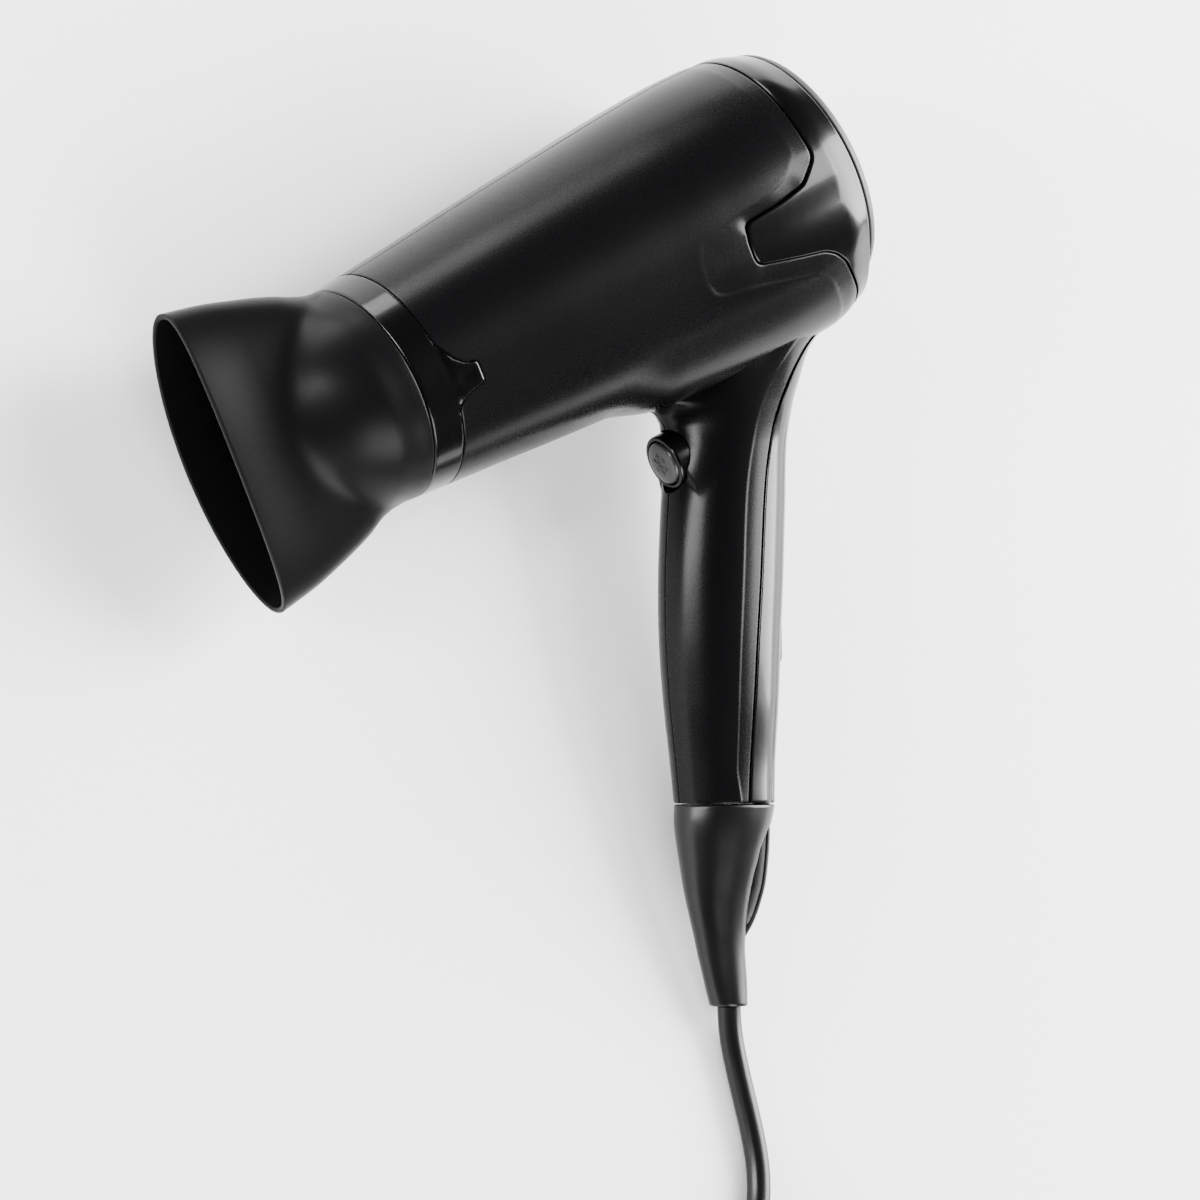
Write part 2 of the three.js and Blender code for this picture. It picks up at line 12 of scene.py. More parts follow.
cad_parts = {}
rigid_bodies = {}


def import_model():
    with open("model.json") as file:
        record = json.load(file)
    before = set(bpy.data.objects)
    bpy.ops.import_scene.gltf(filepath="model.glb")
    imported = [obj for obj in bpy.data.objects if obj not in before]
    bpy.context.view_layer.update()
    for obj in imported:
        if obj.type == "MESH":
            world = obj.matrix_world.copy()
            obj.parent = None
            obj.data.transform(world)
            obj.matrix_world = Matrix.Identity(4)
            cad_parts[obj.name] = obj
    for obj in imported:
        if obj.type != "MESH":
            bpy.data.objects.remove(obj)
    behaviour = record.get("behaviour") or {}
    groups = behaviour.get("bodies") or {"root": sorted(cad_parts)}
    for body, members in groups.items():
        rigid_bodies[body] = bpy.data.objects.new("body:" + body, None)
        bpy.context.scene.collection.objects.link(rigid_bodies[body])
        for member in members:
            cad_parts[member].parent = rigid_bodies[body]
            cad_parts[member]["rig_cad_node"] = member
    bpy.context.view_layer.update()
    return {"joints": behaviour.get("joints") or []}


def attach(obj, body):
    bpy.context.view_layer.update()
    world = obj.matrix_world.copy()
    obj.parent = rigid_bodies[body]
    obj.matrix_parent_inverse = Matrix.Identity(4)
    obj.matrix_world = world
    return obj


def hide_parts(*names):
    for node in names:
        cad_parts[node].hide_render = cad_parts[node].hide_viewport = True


bl_info = {
    "name": "Travel Hair Dryer",
    "version": (1, 0, 0),
    "blender": (4, 5, 0),
    "location": "View3D > Sidebar > Dryer",
    "description": "Builds the shells, trim, cord and finishes of a travel hair dryer",
    "category": "Add Mesh",
}

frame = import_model()

# ---------------------------------------------------------------- the dryer's own frame

MM = 0.001
JOINTS = {joint["name"]: joint for joint in frame["joints"]}
UP = np.array(JOINTS["speed_slide"]["axis"])
BACKWARD = np.array(JOINTS["cool_press"]["axis"])
SIN_RAKE = float(UP @ BACKWARD)
COS_RAKE = math.sqrt(1 - SIN_RAKE**2)
REAR = (BACKWARD - SIN_RAKE * UP) / COS_RAKE
LEFT = np.cross(REAR, UP)
AXES = np.array([REAR, UP, LEFT])
BUTTON_DOWN = 50.7
BUTTON_HOLE = 7.45
MOUTH = np.array([-104.6, 100.75, 0.0])
ORIGIN = np.array(JOINTS["nozzle_turn"]["pos_m"]) / MM - MOUTH @ AXES
BARREL_BACK = np.array([COS_RAKE, SIN_RAKE, 0.0])
BARREL_DOWN = np.array([SIN_RAKE, -COS_RAKE, 0.0])
SIDE = np.array([0.0, 0.0, 1.0])

BARREL = [(0, 28.0), (8, 28.7), (28, 30.3), (43, 31.6), (59, 32.8), (76, 34), (94, 35.2), (111, 35.8),
          (127, 35.3), (135, 33.0)]
HANDLE = [(0, -0.1, 13.3, 11.35), (10, -0.6, 13.9, 11.8), (26, -1.1, 15.25, 13), (42, -1.4, 16.1, 13.7),
          (58, -1.1, 16.5, 14), (74, -0.5, 16.3, 14.2), (90, 0.4, 15.6, 14.6), (100, 1.2, 16.4, 15.6),
          (106, 1.8, 17.6, 16.6), (113, 2.5, 19.0, 18.5), (118, 3, 21.8, 21), (123, 4, 26, 24)]
RELIEF = [(-50.8, 1.1, 4.8, 4.75), (-45, 0.2, 5.6, 4.9), (-34.5, -1.5, 6.6, 5.7), (-23.5, -2.2, 8.6, 7.2),
          (-13, -1.6, 10.9, 9.2), (-4, -0.6, 12.9, 10.8), (-0.3, -0.1, 13.2, 11.2)]


def along(rows, x, k=1):
    """Smooth monotone curve through rows of (x, ...), column k, at one value or an array of them."""
    table = np.array(rows, float)
    xs, ys = table[:, 0], table[:, k]
    step, rise = np.diff(xs), np.diff(ys)
    slope = rise / step
    tangent = np.concatenate([slope[:1], slope[:-1], slope[-1:]])[: len(xs)]
    product = slope[:-1] * slope[1:]
    total = slope[:-1] + slope[1:]
    inner = np.where(product > 0, 2 * product / np.where(total == 0, 1, total), 0)
    tangent[0], tangent[-1] = slope[0], slope[-1]
    tangent[1:-1] = inner
    x = np.clip(np.asarray(x, float), xs[0], xs[-1])
    i = np.clip(np.searchsorted(xs, x, side="right") - 1, 0, len(step) - 1)
    t = (x - xs[i]) / step[i]
    return ((1 + 2 * t) * (1 - t) ** 2 * ys[i] + t * (1 - t) ** 2 * step[i] * tangent[i]
            + t * t * (3 - 2 * t) * ys[i + 1] + t * t * (t - 1) * step[i] * tangent[i + 1])


def smooth(t):
    """Eases from 0 to 1, flat at both ends."""
    t = np.clip(t, 0, 1)
    return t * t * (3 - 2 * t)


def in_barrel(down, back, side):
    """Dryer-frame points from barrel places: below the axis, along it from the mouth, to the left."""
    down, back, side = np.broadcast_arrays(*(np.asarray(v, float) for v in (down, back, side)))
    return MOUTH + down[..., None] * BARREL_DOWN + back[..., None] * BARREL_BACK + side[..., None] * SIDE


def to_room(points):
    """Millimetres in the dryer's frame to metres in the room."""
    return (ORIGIN + np.asarray(points, float) @ AXES) * MM


# ---------------------------------------------------------------- meshes


def finish_mesh(mesh, angle=32):
    """Smooth shading with edges kept sharp past an angle."""
    mesh.validate()
    mesh.shade_smooth()
    mesh.set_sharp_from_angle(angle=math.radians(angle))


def add_object(name, vertices, faces, angle=32, room=False):
    """A new object from points in the dryer's frame, or in the room when asked; normals point outwards."""
    mesh = bpy.data.meshes.new(name)
    points = np.asarray(vertices, float) * MM if room else to_room(vertices)
    mesh.from_pydata(points.tolist(), [], [list(map(int, f)) for f in faces])
    bm = bmesh.new()
    bm.from_mesh(mesh)
    bmesh.ops.remove_doubles(bm, verts=bm.verts, dist=1e-6)
    bmesh.ops.recalc_face_normals(bm, faces=bm.faces)
    bm.to_mesh(mesh)
    bm.free()
    finish_mesh(mesh, angle)
    obj = bpy.data.objects.new(name, mesh)
    bpy.context.scene.collection.objects.link(obj)
    return obj


def loops_solid(loops, cyclic=False):
    """Closed loops of points, one after another, joined by quads; open stacks are capped."""
    loops = np.asarray(loops, float)
    count, size = loops.shape[:2]
    faces = []
    for i in range(count if cyclic else count - 1):
        a, b = i * size, ((i + 1) % count) * size
        faces += [(a + j, a + (j + 1) % size, b + (j + 1) % size, b + j) for j in range(size)]
    if not cyclic:
        faces += [tuple(range(size))[::-1], tuple((count - 1) * size + j for j in range(size))]
    return loops.reshape(-1, 3), faces


def merge(*parts):
    """Joins (vertices, faces) pairs into one."""
    points, faces, offset = [], [], 0
    for vertices, polygons in parts:
        points.append(np.asarray(vertices, float))
        faces += [tuple(offset + i for i in f) for f in polygons]
        offset += len(vertices)
    return np.concatenate(points), faces


def spun(profile, segments=96, down=0.0):
    """A solid of revolution about a line parallel to the barrel's axis; profile rows are (radius, back)."""
    profile = np.array(profile, float)
    angle = np.linspace(0, 2 * math.pi, segments, endpoint=False)
    rings = [in_barrel(down + r * np.cos(angle), np.full(segments, b), r * np.sin(angle)) for r, b in profile]
    closed = abs(profile[0, 0]) > 1e-6
    faces = []
    rows = len(profile)
    for i in range(rows if closed else rows - 1):
        a, b = i * segments, ((i + 1) % rows) * segments
        faces += [(a + j, a + (j + 1) % segments, b + (j + 1) % segments, b + j) for j in range(segments)]
    return np.concatenate(rings), faces


def rounded(profile, radius, steps=4):
    """Rounds every corner of a closed profile; a corner given as (x, y, 0) stays sharp."""
    out = []
    count = len(profile)
    for i, corner in enumerate(profile):
        p = np.array(corner[:2], float)
        bend = corner[2] if len(corner) > 2 else radius
        before = np.array(profile[i - 1][:2], float) - p
        after = np.array(profile[(i + 1) % count][:2], float) - p
        bend = min(bend, 0.45 * np.linalg.norm(before), 0.45 * np.linalg.norm(after))
        if bend <= 0:
            out.append(p)
            continue
        a = p + before / np.linalg.norm(before) * bend
        b = p + after / np.linalg.norm(after) * bend
        for t in np.linspace(0, 1, steps + 1):
            out.append((1 - t) ** 2 * a + 2 * t * (1 - t) * p + t * t * b)
    return np.array(out)


def round_off(edge, radius):
    """How far a wall is drawn in where it comes this close to a rounded edge."""
    if edge >= radius:
        return 0.0
    return radius - radius * math.sqrt(max(0.0, 1 - max(0.0, 1 - edge / radius) ** 2))


def rounded_rectangle(x, middle, half_y, half_z, bend, steps):
    """A loop across the handle at one place x, round a height, with rounded corners."""
    loop = []
    for cy, cz, start in ((1, 1, 0), (-1, 1, 1), (-1, -1, 2), (1, -1, 3)):
        for t in np.linspace(0, math.pi / 2, steps):
            turn = start * math.pi / 2 + t
            loop.append((x, middle + cy * (half_y - bend) + bend * math.cos(turn),
                         cz * (half_z - bend) + bend * math.sin(turn)))
    return loop


def distance_to(points, line):
    """Least distance from each point to a polyline, all in the developed plane."""
    a, b = line[:-1], line[1:]
    ab = b - a
    length = np.maximum((ab**2).sum(1), 1e-12)
    best = np.full(len(points), 1e9)
    for i in range(len(a)):
        t = np.clip(((points - a[i]) @ ab[i]) / length[i], 0, 1)
        best = np.minimum(best, np.hypot(*(points - a[i] - t[:, None] * ab[i]).T))
    return best


def resample(line, step):
    """Evenly spaced points along a polyline."""
    line = np.asarray(line, float)
    reach = np.concatenate([[0], np.cumsum(np.hypot(*np.diff(line, axis=0).T))])
    marks = np.linspace(0, reach[-1], max(2, int(round(reach[-1] / step)) + 1))
    return np.stack([np.interp(marks, reach, line[:, k]) for k in range(2)], 1)


def soften(line, passes):
    """Rounds the corners of a polyline by repeated averaging; its ends stay."""
    line = line.copy()
    for _ in range(passes):
        line[1:-1] = 0.25 * line[:-2] + 0.5 * line[1:-1] + 0.25 * line[2:]
    return line


class Skin:
    """A patch of the barrel, laid out flat as (back, round) and meshed to follow its own edges."""

    SCALE = 35.0

    def __init__(self, outline, creases=(), spacing=1.1, rims=(0.12, 0.32, 0.62)):
        self.outline = outline
        closed = np.vstack([outline, outline[:1]])
        tangent = np.roll(outline, -1, 0) - np.roll(outline, 1, 0)
        tangent /= np.maximum(np.hypot(*tangent.T), 1e-9)[:, None]
        area = 0.5 * np.sum(closed[:-1, 0] * closed[1:, 1] - closed[1:, 0] * closed[:-1, 1])
        inward = np.stack([-tangent[:, 1], tangent[:, 0]], 1) * (1 if area > 0 else -1)
        rings = []
        for d in rims:
            ring = outline + inward * d
            rings.append(ring[distance_to(ring, closed) > 0.93 * d])
        lo, hi = outline.min(0), outline.max(0)
        grid = np.stack(np.meshgrid(np.arange(lo[0], hi[0], spacing), np.arange(lo[1], hi[1], spacing),
                                    indexing="ij"), -1).reshape(-1, 2)
        inside = self.contains(grid, closed)
        clear = distance_to(grid, closed) > rims[-1] + 0.35 * spacing
        for crease in creases:
            clear &= distance_to(grid, crease) > 0.45 * spacing
        grid = grid[inside & clear]
        points = [outline, *rings, grid]
        edges = [(i, (i + 1) % len(outline)) for i in range(len(outline))]
        count = sum(len(p) for p in points)
        for crease in creases:
            keep = self.contains(crease, closed) & (distance_to(crease, closed) > rims[-1])
            line = crease[keep]
            points.append(line)
            edges += [(count + i, count + i + 1) for i in range(len(line) - 1)]
            count += len(line)
        flat = np.concatenate(points)
        result = delaunay_2d_cdt([Vector(p) for p in flat], edges, [], 1, 1e-5)
        self.flat = np.array([tuple(p) for p in result[0]])
        self.faces = [tuple(f) for f in result[2]]
        self.rim = distance_to(self.flat, closed)

    @staticmethod
    def contains(points, closed):
        """Which points are inside a closed outline."""
        x, y = points[:, 0], points[:, 1]
        inside = np.zeros(len(points), bool)
        for (x0, y0), (x1, y1) in zip(closed[:-1], closed[1:]):
            crosses = (y0 > y) != (y1 > y)
            with np.errstate(divide="ignore", invalid="ignore"):
                inside ^= crosses & (x < (x1 - x0) * (y - y0) / (y1 - y0) + x0)
        return inside

    def edge_loop(self):
        """Boundary edges, each walked as its face walks it."""
        seen = {}
        for f in self.faces:
            for i in range(len(f)):
                a, b = f[i], f[(i + 1) % len(f)]
                seen[(a, b)] = True
        return [(a, b) for (a, b) in seen if (b, a) not in seen]

    def solid(self, lift, wall, side):
        """Outer skin raised by lift, inner skin a wall below, and the strip between them."""
        back, angle = self.flat[:, 0], self.flat[:, 1] / self.SCALE
        radius = along(BARREL, back)

        def at(r):
            return in_barrel(-r * np.cos(angle), back, side * r * np.sin(angle))

        outer, inner = at(radius + lift), at(radius - wall)
        count = len(outer)
        faces = list(self.faces)
        faces += [tuple(count + i for i in f[::-1]) for f in self.faces]
        faces += [(b, a, count + a, count + b) for a, b in self.edge_loop()]
        return np.concatenate([outer, inner]), faces


def rolled(distance, radius=0.32):
    """How far an edge drops as it is rolled over."""
    t = np.clip(1 - distance / radius, 0, 1)
    return radius * (np.sqrt(np.maximum(1 - t * t, 0)) - 1)


# ---------------------------------------------------------------- shader maths


class Value:
    """A socket that adds Math nodes when it is used in an expression."""

    def __init__(self, tree, socket):
        self.tree, self.socket = tree, socket

    def math(self, operation, other, swap=False):
        node = self.tree.nodes.new("ShaderNodeMath")
        node.operation = operation
        pair = (other, self) if swap else (self, other)
        for socket, item in zip(node.inputs, pair):
            plug_in(self.tree, socket, item)
        return Value(self.tree, node.outputs[0])

    def __add__(self, other):
        return self.math("ADD", other)

    __radd__ = __add__

    def __mul__(self, other):
        return self.math("MULTIPLY", other)

    __rmul__ = __mul__

    def __sub__(self, other):
        return self.math("SUBTRACT", other)

    def __rsub__(self, other):
        return self.math("SUBTRACT", other, swap=True)


def plug_in(tree, socket, item):
    """Links a value or socket to an input, or sets the input to a plain number."""
    if isinstance(item, Value):
        tree.links.new(item.socket, socket)
    elif isinstance(item, bpy.types.NodeSocket):
        tree.links.new(item, socket)
    else:
        socket.default_value = item


class Finish:
    """A material whose nodes are added one call at a time."""

    def __init__(self, name, **constants):
        self.material = bpy.data.materials.new(name)
        self.material.use_nodes = True
        self.tree = self.material.node_tree
        self.shader = self.tree.nodes["Principled BSDF"]
        for socket, value in constants.items():
            self.shader.inputs[socket.replace("_", " ")].default_value = value

    def node(self, kind, settings=None, output=0, **sockets):
        """Adds a node: its settings first, then the values or links of its sockets."""
        node = self.tree.nodes.new(kind)
        for key, value in (settings or {}).items():
            setattr(node, key, value)
        for key, value in sockets.items():
            name = key.replace("_", " ")
            socket = node.inputs[int(key[1:])] if key[1:].isdigit() else node.inputs[name]
            plug_in(self.tree, socket, value)
        return Value(self.tree, node.outputs[output])

    def places(self):
        """Places on the piece itself, so that a pattern moves with it."""
        return self.node("ShaderNodeTexCoord", output=3)

    def noise(self, scale, detail=4.0, roughness=0.55):
        return self.node("ShaderNodeTexNoise", Vector=self.places(), Scale=scale, Detail=detail,
                         Roughness=roughness)

    def blend(self, factor, first, second):
        node = self.tree.nodes.new("ShaderNodeMix")
        node.data_type = "RGBA"
        plug_in(self.tree, node.inputs[0], factor)
        for socket, shade in zip(node.inputs[6:8], (first, second)):
            plug_in(self.tree, socket, shade)
        return node.outputs[2]

    def give(self, socket, item):
        plug_in(self.tree, self.shader.inputs[socket], item)

    def bump(self, height, strength, distance):
        bump = self.node("ShaderNodeBump", Height=height, Strength=strength, Distance=distance)
        self.give("Normal", bump)


def shade(level, tint=(1, 1, 1)):
    """A colour from how much light it gives back and a tint."""
    return (level * tint[0], level * tint[1], level * tint[2], 1.0)


COOL = (1.0, 1.0, 1.12)


def moulded(name, level, roughness, grain, depth, spread=0.05, tint=COOL, scale=2600, **constants):
    """Moulded plastic: a fine spark-eroded grain, faint flow marks and slightly uneven gloss."""
    finish = Finish(name, **constants)
    speckle = finish.noise(scale, 2.0)
    patches = finish.noise(28, 3.0)
    finish.give("Base Color", finish.blend(patches, shade(level * 0.88, tint), shade(level * 1.14, tint)))
    finish.give("Roughness", roughness + (patches - 0.5) * spread + (speckle - 0.5) * grain)
    finish.bump(speckle, depth, 0.00006)
    return finish.material


def satin_shell(colours):
    return moulded("satin_shell", colours.shell, 0.27, 0.08, 0.14, Specular_IOR_Level=0.11)


def polished_trim(colours):
    """Piano-gloss plastic with the faint orange peel and hairlines that wiping leaves."""
    finish = Finish("polished_trim", Coat_Weight=0.1, Coat_Roughness=0.06, Specular_IOR_Level=0.17)
    peel = finish.noise(160, 2.0)
    wipes = finish.node("ShaderNodeTexNoise", Vector=finish.node(
        "ShaderNodeMapping", Vector=finish.places(), Scale=(1600.0, 60.0, 900.0)), Scale=1.0, Detail=2.0)
    darker, paler = shade(colours.trim * 0.9, COOL), shade(colours.trim * 1.1, COOL)
    finish.give("Base Color", finish.blend(peel, darker, paler))
    finish.give("Roughness", 0.17 + wipes * 0.06)
    finish.bump(peel, 0.03, 0.0002)
    return finish.material


def matte_nozzle(colours):
    return moulded("matte_nozzle", colours.nozzle, 0.36, 0.12, 0.3, scale=2100, Specular_IOR_Level=0.075)


def soft_rubber(colours):
    finish = Finish("soft_rubber", Specular_IOR_Level=0.24)
    bloom = finish.noise(60, 4.0)
    grain = finish.noise(3200, 1.5)
    finish.give("Base Color", finish.blend(bloom, shade(colours.rubber * 0.85), shade(colours.rubber * 1.25)))
    finish.give("Roughness", 0.26 + bloom * 0.08)
    finish.bump(grain, 0.22, 0.00005)
    return finish.material


def button_grey(colours):
    return moulded("button_grey", colours.button, 0.34, 0.08, 0.14, tint=(1, 1, 1.06))


def heat_plastic(colours):
    return moulded("heat_plastic", 0.012, 0.55, 0.1, 0.3, scale=1800, tint=(1, 1, 1))


def grey_nylon(colours):
    return moulded("grey_nylon", 0.16, 0.45, 0.08, 0.2, scale=1500, tint=(1, 1, 1))


def plain_steel(colours):
    """Drawn steel, with fine lines and a few darker specks."""
    finish = Finish("plain_steel", Metallic=1.0)
    lines = finish.node("ShaderNodeTexNoise", Vector=finish.node(
        "ShaderNodeMapping", Vector=finish.places(), Scale=(300.0, 4000.0, 300.0)), Scale=1.0, Detail=3.0)
    finish.give("Base Color", finish.blend(lines, (0.48, 0.48, 0.5, 1), (0.72, 0.72, 0.73, 1)))
    finish.give("Roughness", 0.22 + lines * 0.2)
    finish.bump(lines, 0.08, 0.00003)
    return finish.material


def plated_pin(colours):
    finish = Finish("plated_pin", Metallic=1.0)
    wear = finish.noise(420, 5.0)
    finish.give("Base Color", finish.blend(wear, (0.62, 0.6, 0.56, 1), (0.8, 0.78, 0.73, 1)))
    finish.give("Roughness", 0.16 + wear * 0.16)
    finish.bump(wear, 0.05, 0.00003)
    return finish.material


def mica_sheet(colours):
    """Pressed mica: pale flakes in a brownish binder."""
    finish = Finish("mica_sheet", Specular_IOR_Level=0.6)
    flakes = finish.node("ShaderNodeTexVoronoi", Vector=finish.places(), Scale=700.0, output=0)
    finish.give("Base Color", finish.blend(flakes, (0.55, 0.48, 0.36, 1), (0.28, 0.22, 0.14, 1)))
    finish.give("Roughness", 0.35 + flakes * 0.3)
    finish.bump(flakes, 0.3, 0.0001)
    return finish.material


def heater_wire_metal(colours):
    """Resistance wire, dulled and tinted by heat."""
    finish = Finish("heater_wire_metal", Metallic=1.0)
    tint = finish.noise(90, 3.0)
    finish.give("Base Color", finish.blend(tint, (0.36, 0.31, 0.27, 1), (0.55, 0.5, 0.46, 1)))
    finish.give("Roughness", 0.35 + tint * 0.2)
    return finish.material


def moulded_resin(colours):
    return moulded("moulded_resin", 0.05, 0.5, 0.08, 0.2, tint=(0.8, 1.1, 0.9), scale=1500)


def wire_sleeve(colours):
    finish = Finish("wire_sleeve")
    marks = finish.noise(240, 3.0)
    finish.give("Base Color", finish.blend(marks, (0.28, 0.02, 0.015, 1), (0.4, 0.04, 0.03, 1)))
    finish.give("Roughness", 0.4 + marks * 0.15)
    finish.bump(marks, 0.1, 0.00005)
    return finish.material


def woven_filter(colours):
    """Fine woven mesh, dark, with the threads standing up."""
    finish = Finish("woven_filter")
    x = finish.node("ShaderNodeTexWave", {"bands_direction": "Y"}, Vector=finish.places(), Scale=520.0)
    y = finish.node("ShaderNodeTexWave", {"bands_direction": "Z"}, Vector=finish.places(), Scale=520.0)
    weave = x.math("MAXIMUM", y)
    finish.give("Base Color", finish.blend(weave, (0.004, 0.004, 0.004, 1), (0.05, 0.05, 0.052, 1)))
    finish.give("Roughness", 0.85 - weave * 0.2)
    finish.bump(weave, 0.6, 0.0002)
    return finish.material


FINISHES = {
    "shell": satin_shell, "gloss_cover": polished_trim, "nozzle": matte_nozzle, "rubber": soft_rubber,
    "button_plastic": button_grey, "heat_plastic": heat_plastic, "fan_plastic": grey_nylon,
    "steel": plain_steel, "plated_brass": plated_pin, "mica": mica_sheet,
    "coil_wire": heater_wire_metal, "resin": moulded_resin,
    "wire": wire_sleeve, "filter_mesh": woven_filter,
}
MADE = {}


def finish_of(slot):
    """The finish for one of the record's slots, made once."""
    if slot not in MADE:
        MADE[slot] = FINISHES[slot](bpy.context.scene.dryer_colours)
    return MADE[slot]


def dress(obj, slot, body="dryer_body", nodes=()):
    """Gives a new piece its finish, its body and the nodes that it stands for."""
    obj.data.materials.clear()
    obj.data.materials.append(finish_of(slot))
    if body:
        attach(obj, body)
    if nodes:
        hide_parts(*nodes)
    return obj


# ---------------------------------------------------------------- shells

WALL = 2.0
TUBE_START = 8.5
TUBE_END = 135.0
COVER_SINK = 0.25
PARTING = 0.1
SEAM = 0.22
RING_REAR = TUBE_START - SEAM
PI35 = math.pi * Skin.SCALE


def cover_edge():
    """The back cover's front edge on the left side, from the top round to the bottom, laid out flat."""
    corners = [(125.0, 0.0), (124.6, 24.0), (123.7, 46.2), (117.6, 51.2), (109.5, 52.6), (98.6, 53.3),
               (97.2, 57.0), (97.6, 63.0), (98.6, 64.6), (103, 65.7), (118.6, 69.8), (122.2, 72.2),
               (125.5, 76.5), (130.0, 88.0), (131.4, 97.0), (131.5, PI35)]
    return soften(resample(corners, 0.5), 10)


def recess_edge():
    """Where the shell starts to slope down to the back cover."""
    corners = [(120.2, 0.0), (119.8, 24.0), (119.0, 43.0), (114.0, 47.6), (107.0, 49.6), (91.4, 50.6),
               (84.0, 52.6), (82.2, 57.5), (82.4, 62.0), (84.0, 66.6), (88.0, 68.4), (94.5, 69.2),
               (110, 73.3), (117, 75.4), (120.4, 79.4), (123.6, 88.0), (125.4, 97.0), (125.6, PI35)]
    return soften(resample(corners, 0.6), 10)


TAB_TOP = [(7.6, 41.5), (8.5, 43.9), (9.5, 46.5), (11, 49.6), (13.1, 51.9), (14.8, 52.8), (16.5, 53.2)]
TAB_FOOT = [(16.7, 59.6), (14, 60.4), (11.5, 61.1), (9.8, 62.3), (8.6, 64.4), (7.8, 67.5)]


def tab_edge(margin, back_from):
    """The front ring's side tab laid out flat: along its top flank, over the flat tip and back."""
    line = soften(resample(TAB_TOP + TAB_FOOT, 0.45), 3)
    line = shift_line(line, -margin)
    inside = line[:, 0] > back_from
    first, last = np.argmax(inside), len(line) - np.argmax(inside[::-1])
    kept = line[first:last]
    ends = [[(back_from, kept[0, 1])], [(back_from, kept[-1, 1])]]
    return np.vstack([ends[0], kept, ends[1]])


def shift_line(line, distance):
    """A polyline moved sideways by a distance, to its left."""
    tangent = np.gradient(line, axis=0)
    tangent /= np.hypot(*tangent.T)[:, None]
    return line + np.stack([-tangent[:, 1], tangent[:, 0]], 1) * distance


def pad_lift(back, angle):
    """The barrel's underside swells where the handle leaves it."""
    around = smooth((angle - 2.15) / 0.62)
    front = smooth((back - 57) / 17)
    return 3.3 * around * front


RECESS_BANK = 0.4


def recess_lift(flat, edge, crease):
    """The shell slopes down by under a millimetre from the crease to the back cover."""
    to_edge = distance_to(flat, edge)
    to_crease = distance_to(flat, crease)
    beyond = Skin.contains(flat, recess_loop(edge, crease))
    slope = to_crease / np.maximum(to_edge + to_crease, 1e-6)
    narrow = smooth((6.5 - to_edge - to_crease) / 3)
    shallow = 1 - 0.6 * smooth((47.5 - flat[:, 1]) / 4)
    bank = (0.02 + 0.11 * smooth((flat[:, 1] - 61) / 5)) * np.minimum(to_crease / RECESS_BANK, 1)
    return np.where(beyond, -bank - shallow * (0.45 + 0.65 * narrow) * slope, 0.0)


def recess_loop(edge, crease):
    """The closed outline of the shell's sloping border, from its crease to the cover."""
    return np.vstack([crease, edge[::-1], crease[:1]])


def shell_half(side):
    """One half of the barrel's front shell, as a closed solid."""
    edge = cover_edge()
    front = shift_line(edge, SEAM)
    tab = tab_edge(SEAM, TUBE_START)
    u0, u1 = PARTING, PI35 - PARTING
    front = front[(front[:, 1] > u0) & (front[:, 1] < u1)]
    top = resample([(TUBE_START, u0), (front[0, 0], u0)], 0.6)
    bottom = resample([(front[-1, 0], u1), (TUBE_START, u1)], 0.6)
    lower = resample([(TUBE_START, u1), (TUBE_START, tab[-1, 1])], 0.6)
    upper = resample([(TUBE_START, tab[0, 1]), (TUBE_START, u0)], 0.6)
    outline = np.vstack([top[:-1], front, bottom[1:-1], lower[:-1], tab[::-1], upper[1:-1]])
    crease = recess_edge()
    foot = shift_line(crease, RECESS_BANK)
    if Skin.contains(foot[20:21], recess_loop(edge, crease))[0] == 0:
        foot = shift_line(crease, -RECESS_BANK)
    skin = Skin(outline, [crease, foot[distance_to(foot, edge) > 0.9]], spacing=0.85)
    angle = skin.flat[:, 1] / Skin.SCALE
    lift = rolled(skin.rim) + recess_lift(skin.flat, edge, crease) + pad_lift(skin.flat[:, 0], angle)
    return skin.solid(lift, WALL, side)


def handle_point(height, angle, inset=0.0):
    """A place on the handle's outside; angle 0 faces the rear and half a turn faces the front."""
    middle, depth, width = (along(HANDLE, height, k) for k in (1, 2, 3))
    flare = np.interp(height, [91, 93, 95, 97, 98.6, 100, 123], [0, 0.4, 1.6, 4.6, 9.5, 17, 17])
    forward = np.cos(angle) < 0
    z = (width - inset) * np.sin(angle)
    x = middle + (depth - inset) * np.cos(angle) - np.where(forward, flare * np.exp(-((z / 6.5) ** 2)), 0)
    x, y, z = np.broadcast_arrays(x, np.asarray(height, float), z)
    place = np.stack([x, y, z], -1)
    off = place - MOUTH
    rho = np.hypot(off @ BARREL_DOWN - BUTTON_DOWN, z)
    ahead = off @ BARREL_BACK
    lift = np.minimum(1.9 * (1 - smooth((rho - 6.5) / 7.5)), np.maximum(ahead - 73.2, 0))
    lift = lift * smooth((86 - ahead) / 6)
    return place - lift[..., None] * BARREL_BACK


def seam_angle(height):
    """Where the back cover meets the front shells, down the handle."""
    x = along([(0, 0.4), (34, 1.4), (56, 2.6), (79, 3.7), (94, 6), (104, 9.6), (114, 15.6), (118, 19.0),
               (124, 25.4)], height)
    middle, depth = along(HANDLE, height, 1), along(HANDLE, height, 2)
    return np.arccos(np.clip((x - middle) / depth, -0.98, 0.93))


def handle_rows(top):
    """Heights of the rows of points up the handle, closer together at the foot and the neck."""
    return np.concatenate([[0.0, 0.1, 0.35], np.linspace(0.9, 88, 90), np.linspace(89, top, 50)])


